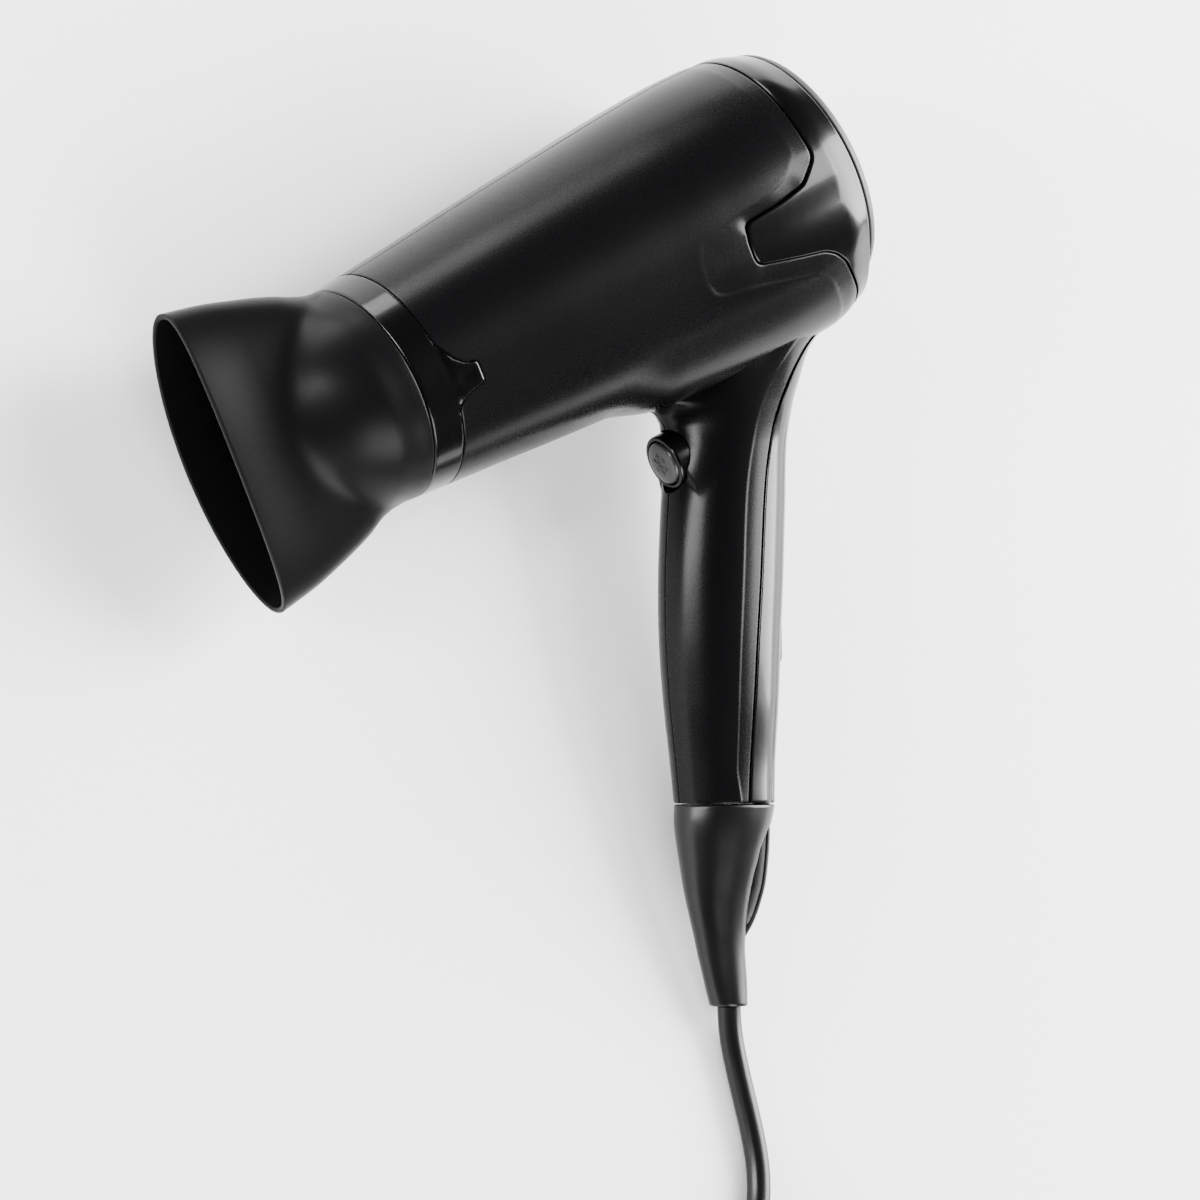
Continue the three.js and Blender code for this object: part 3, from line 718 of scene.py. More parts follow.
def handle_strip(start, end, side, top, lift, wall=WALL, columns=72):
    """A wall of the handle between two angles, as a closed solid swept up the handle."""
    loops = []
    for height in handle_rows(top):
        a, b = start(height), end(height)
        width = float(along(HANDLE, height, 3))
        span = abs(b - a) * width
        marks = np.concatenate([[0, 0.1, 0.25, 0.45, 0.8], np.linspace(1.6, span - 1.6, columns),
                                span - np.array([0.8, 0.45, 0.25, 0.1, 0])])
        angle = a + (b - a) * marks / marks[-1]
        reach = np.minimum(marks, marks[-1] - marks)
        drop = rolled(reach) + rolled(np.full(len(marks), height)) + lift(height, angle)
        outer = handle_point(height, angle)
        centre = handle_point(height, angle, 6.0)
        normal = outer - centre
        normal /= np.linalg.norm(normal, axis=1)[:, None]
        outer = outer + normal * drop[:, None]
        inner = (handle_point(height, angle) - normal * wall)[::-6]
        loop = np.vstack([outer, inner])
        loop[:, 2] *= side
        loops.append(loop)
    return loops_solid(loops)


def handle_half(side):
    """One half of the handle's front, from the parting plane to the cover's strip."""
    def parting(height):
        return math.pi - PARTING / float(along(HANDLE, height, 3))

    def seam(height):
        return float(seam_angle(height)) + SEAM / 14

    def lift(height, angle):
        band = np.interp(height, [0, 8, 90, 110], [2.6, 4.4, 5.6, 6]) / 14
        inside = np.clip(1 - (angle - seam_angle(height)) / band, 0, 1)
        return -0.18 * np.clip(inside / 0.07, 0, 1) - 0.45 * inside

    return handle_strip(parting, seam, side, 120, lift)


def union(name, first, second):
    """Joins two closed solids into one mesh."""
    a = add_object(name, *first)
    b = add_object(name + "_part", *second)
    modifier = a.modifiers.new("join", "BOOLEAN")
    modifier.operation, modifier.solver, modifier.object = "UNION", "MANIFOLD", b
    baked = bpy.data.meshes.new_from_object(a.evaluated_get(bpy.context.evaluated_depsgraph_get()))
    a.modifiers.clear()
    a.data = baked
    bpy.data.objects.remove(b)
    finish_mesh(a.data)
    return a


def carve(obj, cutter, operation="DIFFERENCE"):
    """Cuts a closed solid out of a piece, or joins it on with UNION."""
    tool = add_object("cutter", *cutter)
    modifier = obj.modifiers.new("cut", "BOOLEAN")
    modifier.operation, modifier.solver, modifier.object = operation, "MANIFOLD", tool
    baked = bpy.data.meshes.new_from_object(obj.evaluated_get(bpy.context.evaluated_depsgraph_get()))
    obj.modifiers.clear()
    obj.data = baked
    bpy.data.objects.remove(tool)
    finish_mesh(obj.data)
    return obj


def walled(skin, outer, inner):
    """The outer and inner faces of a skin, joined along its edges but open on the middle plane."""
    count = len(outer)
    around = skin.flat[:, 1]
    on_middle = (around < 1e-6) | (around > PI35 - 1e-6)
    faces = list(skin.faces) + [tuple(count + i for i in f[::-1]) for f in skin.faces]
    faces += [(b, a, count + a, count + b) for a, b in skin.edge_loop()
              if not (on_middle[a] and on_middle[b])]
    return np.concatenate([outer, inner]), faces


SCREWS = [(-7.0, 18.0), (-8.6, 66.5), (4.5, 108.0)]
POST_RADIUS = 4.0
POST_SIDES = 48
SCREW_HOLE = 1.75
HEAD_WELL = 3.4


def post(place, radius, z_from, z_to):
    """A round bar across the dryer; each end is a side place, or one for every point round the bar."""
    turn = np.linspace(0, 2 * math.pi, POST_SIDES, endpoint=False)
    x, y = place[0] + radius * np.cos(turn), place[1] + radius * np.sin(turn)
    return loops_solid([np.stack([x, y, np.zeros(POST_SIDES) + z], 1) for z in (z_from, z_to)])


def outside_reach(piece, x, y, side):
    """How far the piece's outside stands from the parting plane at a place."""
    start = Vector(to_room([[x, y, side * 60.0]])[0].tolist())
    middle = Vector(to_room([[x, y, 0.0]])[0].tolist())
    found = piece.ray_cast(start, (middle - start).normalized())[1]
    return (found - middle).length / MM


def screw_posts(half, side):
    """The three posts inside a shell: wells for the heads on the right, blind holes on the left."""
    for place in SCREWS:
        turn = np.linspace(0, 2 * math.pi, POST_SIDES, endpoint=False)
        rim = np.array([outside_reach(half, place[0] + POST_RADIUS * math.cos(t),
                                      place[1] + POST_RADIUS * math.sin(t), side) for t in turn])
        carve(half, post(place, POST_RADIUS, side * 0.1, side * (rim - 1.0)), "UNION")
        if side < 0:
            carve(half, post(place, HEAD_WELL, -7.0, -rim.max() - 3.0))
            carve(half, post(place, SCREW_HOLE, 0.5, -7.5))
        else:
            carve(half, post(place, SCREW_HOLE, -0.5, 7.5))


def back_cover():
    """The glossy rear moulding: a collar round the barrel's rear with a tongue on each side."""
    edge = cover_edge()
    front = shift_line(edge, -SEAM)
    end = TUBE_END
    left = front[(front[:, 1] > 0) & (front[:, 1] < PI35)]
    top = resample([(end, 0.0), (left[0, 0], 0.0)], 0.7)
    bottom = resample([(left[-1, 0], PI35), (end, PI35)], 0.7)
    rear = resample([(end, PI35), (end, 0.0)], 0.8)
    outline = np.vstack([top[:-1], left, bottom[1:-1], rear[:-1]])
    skin = Skin(outline)
    to_seam = distance_to(skin.flat, left)
    to_end = end - skin.flat[:, 0]
    angle = skin.flat[:, 1] / Skin.SCALE
    lift = rolled(to_seam, 0.4) + rolled(to_end, 0.6) + 0.9 * pad_lift(skin.flat[:, 0], angle)
    lift = lift - COVER_SINK
    halves = []
    for side in (1, -1):
        back, around = skin.flat[:, 0], angle
        radius = along(BARREL, back)
        outer = in_barrel(-(radius + lift) * np.cos(around), back, side * (radius + lift) * np.sin(around))
        inner = in_barrel(-(radius - WALL) * np.cos(around), back, side * (radius - WALL) * np.sin(around))
        halves.append(walled(skin, outer, inner))
    return merge(*halves)


def spine():
    """The cover's strip down the back of the handle, with its raised middle panel."""
    def right(height):
        return -(float(seam_angle(height)) - SEAM / 14)

    def left(height):
        return float(seam_angle(height)) - SEAM / 14

    def lift(height, angle):
        step = smooth((np.abs(angle) - 0.72) / 0.1)
        fade = 1 - smooth((height - 88) / 12)
        return -0.2 - 0.25 * step * fade

    return handle_strip(right, left, 1, 124, lift, columns=110)


# each slide switch's knob: its height on the handle and how far back its pocket's floor is
KNOBS = {"heat_knob": (40, 13.5), "speed_knob": (66, 14.2)}


def knob_pocket(middle, flat):
    """The recess that a slide switch's knob runs in."""
    return loops_solid([rounded_rectangle(x, middle, 9.6, 5.2, 2.0, 9) for x in (flat - 0.2, flat + 8.0)])


# ---------------------------------------------------------------- nozzle

NOZZLE_WALL = 1.5
NOZZLE_RIM = 43.9
UPPER = [(0, 28.0), (5, 28.9), (9, 30.4), (15, 33.1), (25, 36.5), (33, 38.9), (44, 41.3)]
LOWER = [(0, 28.0), (5, 28.2), (9, 29.0), (15, 31.7), (25, 34.8), (33, 36.8), (44, 38.4)]


def nozzle_half_width(forward, below, turn):
    """Half width of the nozzle at a place round it: a round bulb that flows into flat flared cheeks."""
    around = np.abs(np.sin(turn))
    cheek = (14.6 - 2.2 * smooth(forward / 44.0) + 0.9 * smooth((forward - 30) / 14)) * around**0.88
    left = 1 - (forward / 28.6) ** 2 - ((below + 0.1 * forward) / 28.0) ** 2
    soft = 0.2 * around * smooth((forward - 1.0) / 9.0)
    bulb = 28.0 * np.sqrt(np.clip((left + np.sqrt(left**2 + soft**2)) / 2, 0, None))
    fillet = 8.0 * around * smooth(forward / 10.0)
    return 0.5 * (bulb + cheek + np.sqrt((bulb - cheek) ** 2 + fillet**2)) - 0.12 * fillet


def nozzle_loop(forward, inset=0.0, count=256):
    """One closed loop round the nozzle, a distance forward of its seat."""
    turn = np.linspace(0, 2 * math.pi, count, endpoint=False)
    top, bottom = float(along(UPPER, forward)), float(along(LOWER, forward))
    middle, half = (bottom - top) / 2, (top + bottom) / 2
    below = middle - half * np.cos(turn)
    width = nozzle_half_width(forward, below, turn) * np.sign(np.sin(turn))
    shaped = np.stack([below, width], 1)
    if inset:
        tangent = np.roll(shaped, -1, 0) - np.roll(shaped, 1, 0)
        tangent /= np.maximum(np.hypot(*tangent.T), 1e-9)[:, None]
        normal = np.stack([tangent[:, 1], -tangent[:, 0]], 1)
        centre_side = np.sign(((shaped - [middle, 0]) * normal).sum(1))
        shaped = shaped - normal * centre_side[:, None] * inset
    lip = 2.8 * (1 - (below / 41.0) ** 2) * smooth((forward - 20) / 24)
    back = -forward - lip
    return in_barrel(shaped[:, 0], back, shaped[:, 1])


def nozzle_shell():
    """The concentrator as one closed wall."""
    outer = [0.3, 0.42, 0.62, 0.9, 1.4, *np.linspace(2, 43.2, 110), 43.5, 43.74, NOZZLE_RIM]
    loops = []
    for forward in outer:
        edge = min(forward - 0.3, NOZZLE_RIM - forward)
        loops.append(nozzle_loop(forward, round_off(edge, 0.35)))
    for forward in (NOZZLE_RIM, 43.7, 43.3, *np.linspace(42, 1.6, 34), 0.8, 0.3):
        edge = NOZZLE_RIM - forward
        loops.append(nozzle_loop(forward, NOZZLE_WALL - (0.3 if edge < 0.15 else 0.0)))
    return loops_solid(loops, cyclic=True)


def nozzle_collar():
    """The grey clip sleeve inside the nozzle that turns in the front ring."""
    return spun(rounded([(23.2, -7.5), (25.0, -7.5), (25.0, 7.3), (24.4, 7.5), (23.2, 7.5)], 0.3), 128)


# ---------------------------------------------------------------- ring, grilles, trim


def ring_skin():
    """The glossy front ring with a shaped tab on each side, as one closed wall."""
    sides = []
    inner_start = 0.0
    for side in (1, -1):
        tab = tab_edge(0.0, RING_REAR)
        top = resample([(inner_start, 0.0), (RING_REAR, 0.0)], 0.5)
        upper = resample([(RING_REAR, 0.0), (RING_REAR, tab[0, 1])], 0.6)
        lower = resample([(RING_REAR, tab[-1, 1]), (RING_REAR, PI35)], 0.6)
        bottom = resample([(RING_REAR, PI35), (inner_start, PI35)], 0.5)
        front = resample([(inner_start, PI35), (inner_start, 0.0)], 0.8)
        outline = np.vstack([top[:-1], upper[:-1], tab, lower[1:-1], bottom[:-1], front[:-1]])
        dish = tab_edge(-1.5, RING_REAR)
        skin = Skin(outline, [dish], spacing=0.7)
        back, around = skin.flat[:, 0], skin.flat[:, 1]
        lift = rolled(np.minimum(distance_to(skin.flat, np.vstack([upper, tab, lower])), 9), 0.4)
        lift += rolled(back - inner_start, 0.5)
        closed_dish = np.vstack([dish, dish[:1]])
        inside = Skin.contains(skin.flat, closed_dish)
        depth = distance_to(skin.flat, closed_dish)
        forth, across = back - 11.4, around - 56.6 + 0.25 * (back - 11.4)
        scoop = np.exp(-((forth / 3.0) ** 2 + (across / 1.5) ** 2))
        lift += np.where(inside, -0.12 * smooth(depth / 0.6) - 0.34 * scoop * smooth(depth / 1.2), 0.0)
        lift += 0.35 * smooth((back - TUBE_START) / 1.2)
        angle = around / Skin.SCALE
        radius = along(BARREL, back) + lift
        under = np.where(back < TUBE_START - 0.4, 25.5, along(BARREL, back) - 1.6)
        under = np.minimum(under, radius - 0.4)
        outer = in_barrel(-radius * np.cos(angle), back, side * radius * np.sin(angle))
        inner = in_barrel(-under * np.cos(angle), back, side * under * np.sin(angle))
        sides.append(walled(skin, outer, inner))
    return merge(*sides)


def bezel():
    """The ring round the button."""
    return spun(rounded([(6.0, 71.9), (6.9, 71.9), (7.15, 72.4), (7.15, 83.6), (6.0, 83.6)], 0.25),
                128, down=BUTTON_DOWN)


def cool_button():
    """The round button: a shallow dome with a rolled edge."""
    profile = [(0.0, 70.75), (1.2, 70.76), (2.6, 70.86), (3.8, 71.02), (4.8, 71.24), (5.25, 71.42),
               (5.5, 71.66), (5.62, 72.0), (5.65, 72.5), (5.65, 81.6), (5.45, 81.8), (0.0, 81.8)]
    count = 128
    angle = np.linspace(0, 2 * math.pi, count, endpoint=False)
    points = [in_barrel(BUTTON_DOWN, 70.75, 0.0)]
    for radius, back in profile[1:-1]:
        points += list(in_barrel(BUTTON_DOWN + radius * np.cos(angle), back, radius * np.sin(angle)))
    points.append(in_barrel(BUTTON_DOWN, 81.8, 0.0))
    rings = len(profile) - 2
    last = 1 + rings * count
    faces = [(0, 1 + j, 1 + (j + 1) % count) for j in range(count)]
    for i in range(rings - 1):
        a, b = 1 + i * count, 1 + (i + 1) * count
        faces += [(a + j, b + j, b + (j + 1) % count, a + (j + 1) % count) for j in range(count)]
    faces += [(last, last - count + (j + 1) % count, last - count + j) for j in range(count)]
    return np.array(points), faces


def mark_bar(length, width, turn, reach):
    """One raised rounded bar of the button's mark, starting a distance out along a direction."""
    outline = []
    half = width / 2
    for t in np.linspace(-math.pi / 2, math.pi / 2, 7):
        outline.append((reach + length + half * math.cos(t), half * math.sin(t)))
    for t in np.linspace(math.pi / 2, 3 * math.pi / 2, 7):
        outline.append((reach + half * math.cos(t), half * math.sin(t)))
    c, s = math.cos(turn), math.sin(turn)
    flat = [(x * c - y * s, x * s + y * c) for x, y in outline]
    return flat


def button_mark():
    """A generic cool-air mark: six spokes with little side branches."""
    parts = []
    for k in range(6):
        turn = k * math.pi / 3
        bars = [mark_bar(2.5, 0.36, turn, 0.35)]
        tip = np.array([math.cos(turn), math.sin(turn)]) * 1.75
        for fork in (-0.8, 0.8):
            bars.append([tuple(tip + np.array(p)) for p in mark_bar(0.75, 0.3, turn + fork, 0.1)])
        for bar in bars:
            loops = []
            for raise_ in (-0.12, 0.1, 0.16):
                shrink = 0.94 if raise_ > 0.12 else 1.0
                centre = np.mean(bar, axis=0)
                loop = []
                for p in bar:
                    q = centre + (np.array(p) - centre) * shrink
                    r = math.hypot(*q)
                    face = 70.75 + 0.018 * r * r
                    loop.append(in_barrel(BUTTON_DOWN + q[0], face - raise_, q[1]))
                loops.append(loop)
            parts.append(loops_solid(loops))
    return merge(*parts)


def knob(middle, flat):
    """A slide switch's knob: a rounded cap on its stem, ridged across."""
    def loop(x, half_y, half_z, bend):
        return rounded_rectangle(x, middle, half_y, half_z, bend, 7)

    cap = loops_solid([loop(flat + 0.3, 4.8, 3.8, 1.2), loop(flat + 0.45, 5.0, 4.0, 1.4),
                       loop(flat + 0.75, 5.0, 4.0, 1.4), loop(flat + 0.95, 4.85, 3.85, 1.3),
                       loop(flat + 1.05, 4.5, 3.5, 1.1)])
    stem = loops_solid([loop(flat - 2.4, 1.4, 1.4, 0.2), loop(flat + 0.5, 1.4, 1.4, 0.2)])
    parts = [cap, stem]
    for k in range(5):
        y = middle - 2.8 + 1.4 * k
        rows = []
        for z in (-3.0, -2.8, 2.8, 3.0):
            top = flat + (1.3 if abs(z) < 2.9 else 1.2)
            rows.append([(flat + 1.0, y - 0.42, z), (top - 0.1, y - 0.34, z), (top, y, z),
                         (top - 0.1, y + 0.34, z), (flat + 1.0, y + 0.42, z)])
        parts.append(loops_solid(rows))
    return merge(*parts)


# ---------------------------------------------------------------- strain relief and hanging loop

STRAP = [(11.6, 0.0), (11.6, -4.5), (11.7, -7), (11.5, -11), (10.6, -19), (8.9, -25), (6.7, -30),
         (3.6, -34.5)]
STRAP_HALF = 0.75
STRAP_WIDTH = 6.4


def relief_loop(height, inset=0.0, count=128):
    """Round the tapering sleeve; its rear is cut back behind the slit."""
    angle = np.linspace(0, 2 * math.pi, count, endpoint=False)
    middle, depth, width = (float(along(RELIEF, height, k)) for k in (1, 2, 3))
    x = middle + (depth - inset) * np.cos(angle)
    z = (width - inset) * np.sin(angle)
    slit_face = np.interp(height, [-34, -29.4, -26, -19, -11, -6.5, -4.6, -3.6],
                          [30, 4.6, 4.2, 4.6, 6.0, 8.2, 11.0, 30])
    x = np.minimum(x, slit_face)
    return np.stack([x, np.full(count, height), z], 1)


def relief_body():
    """The solid part of the rubber sleeve with the cord's hole at its foot."""
    loops = []
    for height in (-0.32, -0.45, -0.75, -1.1, *np.linspace(-1.7, -50.0, 150), -50.4, -50.65, -50.8):
        edge = min(-0.32 - height, height + 50.8)
        loops.append(relief_loop(height, round_off(edge, 0.5)))
    count = 128
    angle = np.linspace(0, 2 * math.pi, count, endpoint=False)
    for height in (-50.8, -50.6, -49.0, -44.0):
        radius = 3.5 if height < -50.7 else 3.2
        loops.append(np.stack([1.2 + radius * np.cos(angle), np.full(count, height),
                               radius * np.sin(angle)], 1))
    return loops_solid(loops)


def strap():
    """The thin rubber strap bridging the slit, which hangs the dryer on a hook."""
    line = np.array(STRAP)
    reach = np.concatenate([[0], np.cumsum(np.hypot(*np.diff(line, axis=0).T))])
    marks = np.linspace(0, reach[-1], 90)
    centre = np.stack([along(np.stack([reach, line[:, k]], 1), marks) for k in (0, 1)], 1)
    tangent = np.gradient(centre, axis=0)
    tangent /= np.hypot(*tangent.T)[:, None]
    normal = np.stack([-tangent[:, 1], tangent[:, 0]], 1)
    loops = []
    for place, across in zip(centre, normal):
        section = []
        for t in np.linspace(0, 2 * math.pi, 32, endpoint=False):
            c, s = math.cos(t), math.sin(t)
            out = STRAP_HALF * math.copysign(abs(s) ** 0.5, s)
            side = 0.5 * STRAP_WIDTH * math.copysign(abs(c) ** 0.35, c)
            arch = -0.9 * (side / (0.5 * STRAP_WIDTH)) ** 2
            p = place + across * (out + arch)
            section.append((p[0], p[1], side))
        loops.append(section)
    return loops_solid(loops)


# ---------------------------------------------------------------- cord and plug

LIE = 3.05
CORD_START = [(0.25, -5, 3.9), (1.2, -11, 3.25), (2.8, -20, LIE), (4.9, -31, LIE), (6, -41, LIE),
              (5, -51, LIE), (1.4, -59.5, LIE), (-5, -66.2, LIE), (-14.0, -73.0, LIE), (-21.0, -81.5, LIE),
              (-25.6, -91.5, LIE)]
COIL_CENTRE = np.array([14.0, -112.0])
CORD_END = [(22, -160.6, 9.6), (32, -162.4, 6.8), (44, -161.2, 4.9), (57, -157, 4.4), (68, -148, 4.4),
            (73.4, -138, 4.4), (74.2, -130, 4.4)]
COIL_START = math.radians(158.0)
COIL_LAPS = 7.26
COIL_TURNS = [(0, 41.3, LIE), (0.8, 41.3, LIE), (1.0, 35.1, LIE), (1.8, 35.1, LIE), (2.0, 29.0, LIE),
              (2.55, 29.0, LIE), (2.8, 29.2, 9.2), (3.0, 32.0, 9.2), (3.8, 32.0, 9.2), (4.0, 38.2, 9.2),
              (4.6, 38.2, 9.2), (4.85, 38.2, 15.35), (5.05, 32.0, 15.35), (5.8, 32.0, 15.35),
              (6.0, 38.2, 15.35), (6.95, 38.2, 15.35), (7.12, 40.6, 15.0), (COIL_LAPS, 45.6, 12.6)]


def cord_path(exit_point):
    """The cord from the sleeve round its coil of turns to the plug."""
    points = [np.array([exit_point[0] + x, exit_point[1] + y, z]) for x, y, z in CORD_START]
    centre = np.array([exit_point[0], exit_point[1]]) + COIL_CENTRE
    for lap in np.arange(0, COIL_LAPS + 0.01, 0.05):
        turn = COIL_START + 2 * math.pi * lap
        radius, height = float(along(COIL_TURNS, lap, 1)), float(along(COIL_TURNS, lap, 2))
        points.append(np.array([centre[0] + radius * math.cos(turn),
                                centre[1] + radius * math.sin(turn), height]))
    points += [np.array([exit_point[0] + x, exit_point[1] + y, z]) for x, y, z in CORD_END]
    return points


def plug_axis():
    """The way the plug points, along the end of the cord."""
    a, b = np.array(CORD_END[-2]), np.array(CORD_END[-1])
    line = b - a
    line[2] = 0
    return line / np.linalg.norm(line)


def plug_points(local, exit_point):
    """Plug points (across, along, up) to the room, in millimetres."""
    ahead = plug_axis()
    across = np.array([ahead[1], -ahead[0], 0.0])
    end = np.array(CORD_END[-1])
    origin = np.array([exit_point[0] + end[0], exit_point[1] + end[1], 0]) + ahead * 0.3 + [0, 0, 8.65]
    local = np.asarray(local, float)
    return origin + local[:, :1] * across + local[:, 1:2] * ahead + local[:, 2:3] * [0, 0, 1]


PLUG = [(0, 4.4, 4.2), (4, 5.4, 5), (16, 8, 7), (26, 13, 8.4), (36, 14.5, 8.6), (40, 14.5, 8.6)]


def plug_body():
    """The plug's moulding: a ribbed neck that widens to a flat face."""
    loops = []
    for y in (0.0, 0.15, 0.4, 0.8, *np.linspace(1.4, 38.8, 60), 39.3, 39.7, 39.9, 40.0):
        edge = min(y, 40.0 - y)
        inset = round_off(edge, 0.8)
        groove = 0.45 * max(0.0, math.cos((y - 6) * 2 * math.pi / 2.6)) ** 2 if 3.5 < y < 14.5 else 0.0
        wide, tall = float(along(PLUG, y, 1)) - inset - groove, float(along(PLUG, y, 2)) - inset - groove
        loop = []
        for t in np.linspace(0, 2 * math.pi, 96, endpoint=False):
            c, s = math.cos(t), math.sin(t)
            loop.append((wide * math.copysign(abs(c) ** 0.8, c), y, tall * math.copysign(abs(s) ** 0.8, s)))
        loops.append(loop)
    return loops_solid(loops)


PIN = [(40.3, 2.38), (50.0, 2.4), (50.1, 2.32), (57.6, 2.32), (58.3, 2.1), (58.9, 1.5), (59.2, 0.7)]


def plug_pin(offset):
    """A round pin with a rounded tip and an insulating shoulder step."""
    loops = []
    for y, radius in PIN:
        angle = np.linspace(0, 2 * math.pi, 48, endpoint=False)
        loops.append(np.stack([offset + radius * np.cos(angle), np.full(48, y), radius * np.sin(angle)], 1))
    return loops_solid(loops)


# ---------------------------------------------------------------- repeated parts by geometry nodes


class Repeat:
    """A node tree that copies one profile solid round the barrel's axis."""

    def __init__(self, name, slot):
        self.tree = bpy.data.node_groups.new(name, "GeometryNodeTree")
        face = self.tree.interface
        face.new_socket("Geometry", in_out="INPUT", socket_type="NodeSocketGeometry")
        self.sockets = {}
        for label, kind, start in (
                ("Count", "NodeSocketInt", 6), ("Centre", "NodeSocketVector", (0, 0, 0)),
                ("Axis", "NodeSocketVector", (0, 0, 1)), ("Phase", "NodeSocketFloat", 0.0)):
            socket = face.new_socket(label, in_out="INPUT", socket_type=kind)
            socket.default_value = start
            self.sockets[label] = socket.identifier
        face.new_socket("Geometry", in_out="OUTPUT", socket_type="NodeSocketGeometry")
        link, new = self.tree.links.new, self.tree.nodes.new
        source, result = new("NodeGroupInput"), new("NodeGroupOutput")
        points = new("GeometryNodePoints")
        link(source.outputs["Count"], points.inputs["Count"])
        link(source.outputs["Centre"], points.inputs["Position"])
        index = new("GeometryNodeInputIndex")
        step = new("ShaderNodeMath")
        step.operation = "DIVIDE"
        step.inputs[0].default_value = 2 * math.pi
        link(source.outputs["Count"], step.inputs[1])
        angle = new("ShaderNodeMath")
        angle.operation = "MULTIPLY_ADD"
        link(index.outputs[0], angle.inputs[0])
        link(step.outputs[0], angle.inputs[1])
        link(source.outputs["Phase"], angle.inputs[2])
        turn = new("FunctionNodeAxisAngleToRotation")
        link(source.outputs["Axis"], turn.inputs["Axis"])
        link(angle.outputs[0], turn.inputs["Angle"])
        copies = new("GeometryNodeInstanceOnPoints")
        link(points.outputs[0], copies.inputs["Points"])
        link(source.outputs["Geometry"], copies.inputs["Instance"])
        link(turn.outputs[0], copies.inputs["Rotation"])
        real, finish = new("GeometryNodeRealizeInstances"), new("GeometryNodeSetMaterial")
        finish.inputs["Material"].default_value = finish_of(slot)
        link(copies.outputs[0], real.inputs[0])
        link(real.outputs[0], finish.inputs["Geometry"])
        link(finish.outputs[0], result.inputs[0])

    def bake(self, obj, **inputs):
        """Runs the tree on an object whose mesh is relative to the centre, and keeps a plain mesh."""
        modifier = obj.modifiers.new("repeat", "NODES")
        modifier.node_group = self.tree
        for label, value in inputs.items():
            modifier[self.sockets[label]] = value
        baked = bpy.data.meshes.new_from_object(obj.evaluated_get(bpy.context.evaluated_depsgraph_get()))
        obj.modifiers.clear()
        obj.data = baked
        finish_mesh(baked, 35)
        return obj


def repeat_round(name, solid, count, slot, phase=0.0):
    """Copies a solid round the barrel's axis with the node tree."""
    vertices, faces = solid
    centre = to_room(MOUTH)
    local = (to_room(vertices) - centre) / MM
    obj = add_object(name, local, faces, room=True)
    axis = tuple(float(v) for v in BACKWARD)
    return Repeat(name + "_nodes", slot).bake(obj, Count=count, Centre=tuple(map(float, centre)), Axis=axis,
                                               Phase=phase)


def joined(name, *objects):
    """One object from several, with their meshes put together."""
    bm = bmesh.new()
    for obj in objects:
        bm.from_mesh(obj.data)
    mesh = bpy.data.meshes.new(name)
    bm.to_mesh(mesh)
    bm.free()
    for obj in objects:
        bpy.data.objects.remove(obj)
    finish_mesh(mesh, 35)
    out = bpy.data.objects.new(name, mesh)
    bpy.context.scene.collection.objects.link(out)
    return out


def spoke(start, end, half, back, rear):
    """A straight bar lying across the barrel from one radius to another."""
    rows = []
    for radius in (start, end):
        rows.append([in_barrel(radius, b, z) for b, z in rounded([(back, -half), (rear, -half), (rear, half),
                                                                  (back, half)], 0.3, 3)])
    return loops_solid(rows)


def dome_back(radius):
    """How far back the intake dome stands at a radius."""
    return 141.0 - 5.6 * (radius / 31.6) ** 2.4


def dome_rib(start, end, half, wall=1.6):
    """One rib of the intake grille, following its dome."""
    rows = []
    for radius in np.linspace(start, end, 24):
        top = dome_back(radius)
        section = rounded([(top - wall, -half), (top, -half), (top, half), (top - wall, half)], 0.35, 3)
        rows.append([in_barrel(radius, b, z) for b, z in section])
    return loops_solid(rows)


# ---------------------------------------------------------------- add-on


class DryerSizes(bpy.types.PropertyGroup):
    """Sizes of the cord and the small parts."""

    cord_length: bpy.props.FloatProperty(name="Cord length", description="Length of cord from sleeve to plug",
                                         default=1.8, min=0.5, max=3.0, unit="LENGTH")
    cord_thickness: bpy.props.FloatProperty(name="Cord thickness", description="Outside diameter of the cord",
                                            default=0.00606, min=0.003, max=0.01, unit="LENGTH")
    grille_ribs: bpy.props.IntProperty(name="Grille ribs", description="Ribs across the rear intake grille",
                                       default=16, min=6, max=40)
    outlet_spokes: bpy.props.IntProperty(name="Outlet spokes", description="Spokes of the outlet grille",
                                         default=6, min=3, max=12)


class DryerColours(bpy.types.PropertyGroup):
    """How dark each plastic is, as linear reflectance."""

    shell: bpy.props.FloatProperty(name="Shells", description="Satin shells", default=0.0018, min=0, max=1)
    trim: bpy.props.FloatProperty(name="Trim", description="Polished cover, ring and bezel",
                                  default=0.0013, min=0, max=1)
    nozzle: bpy.props.FloatProperty(name="Nozzle", description="Matte nozzle", default=0.0022, min=0, max=1)
    rubber: bpy.props.FloatProperty(name="Rubber", description="Sleeve and cord", default=0.0022,
                                    min=0, max=1)
    button: bpy.props.FloatProperty(name="Button", description="Cool-air button", default=0.012, min=0, max=1)


class BuildStep(bpy.types.Operator):
    """Base of the dryer's build steps."""

    bl_options = {"REGISTER", "UNDO"}

    def build(self, sizes):
        raise NotImplementedError

    def execute(self, context):
        self.build(context.scene.dryer_sizes)
        return {"FINISHED"}


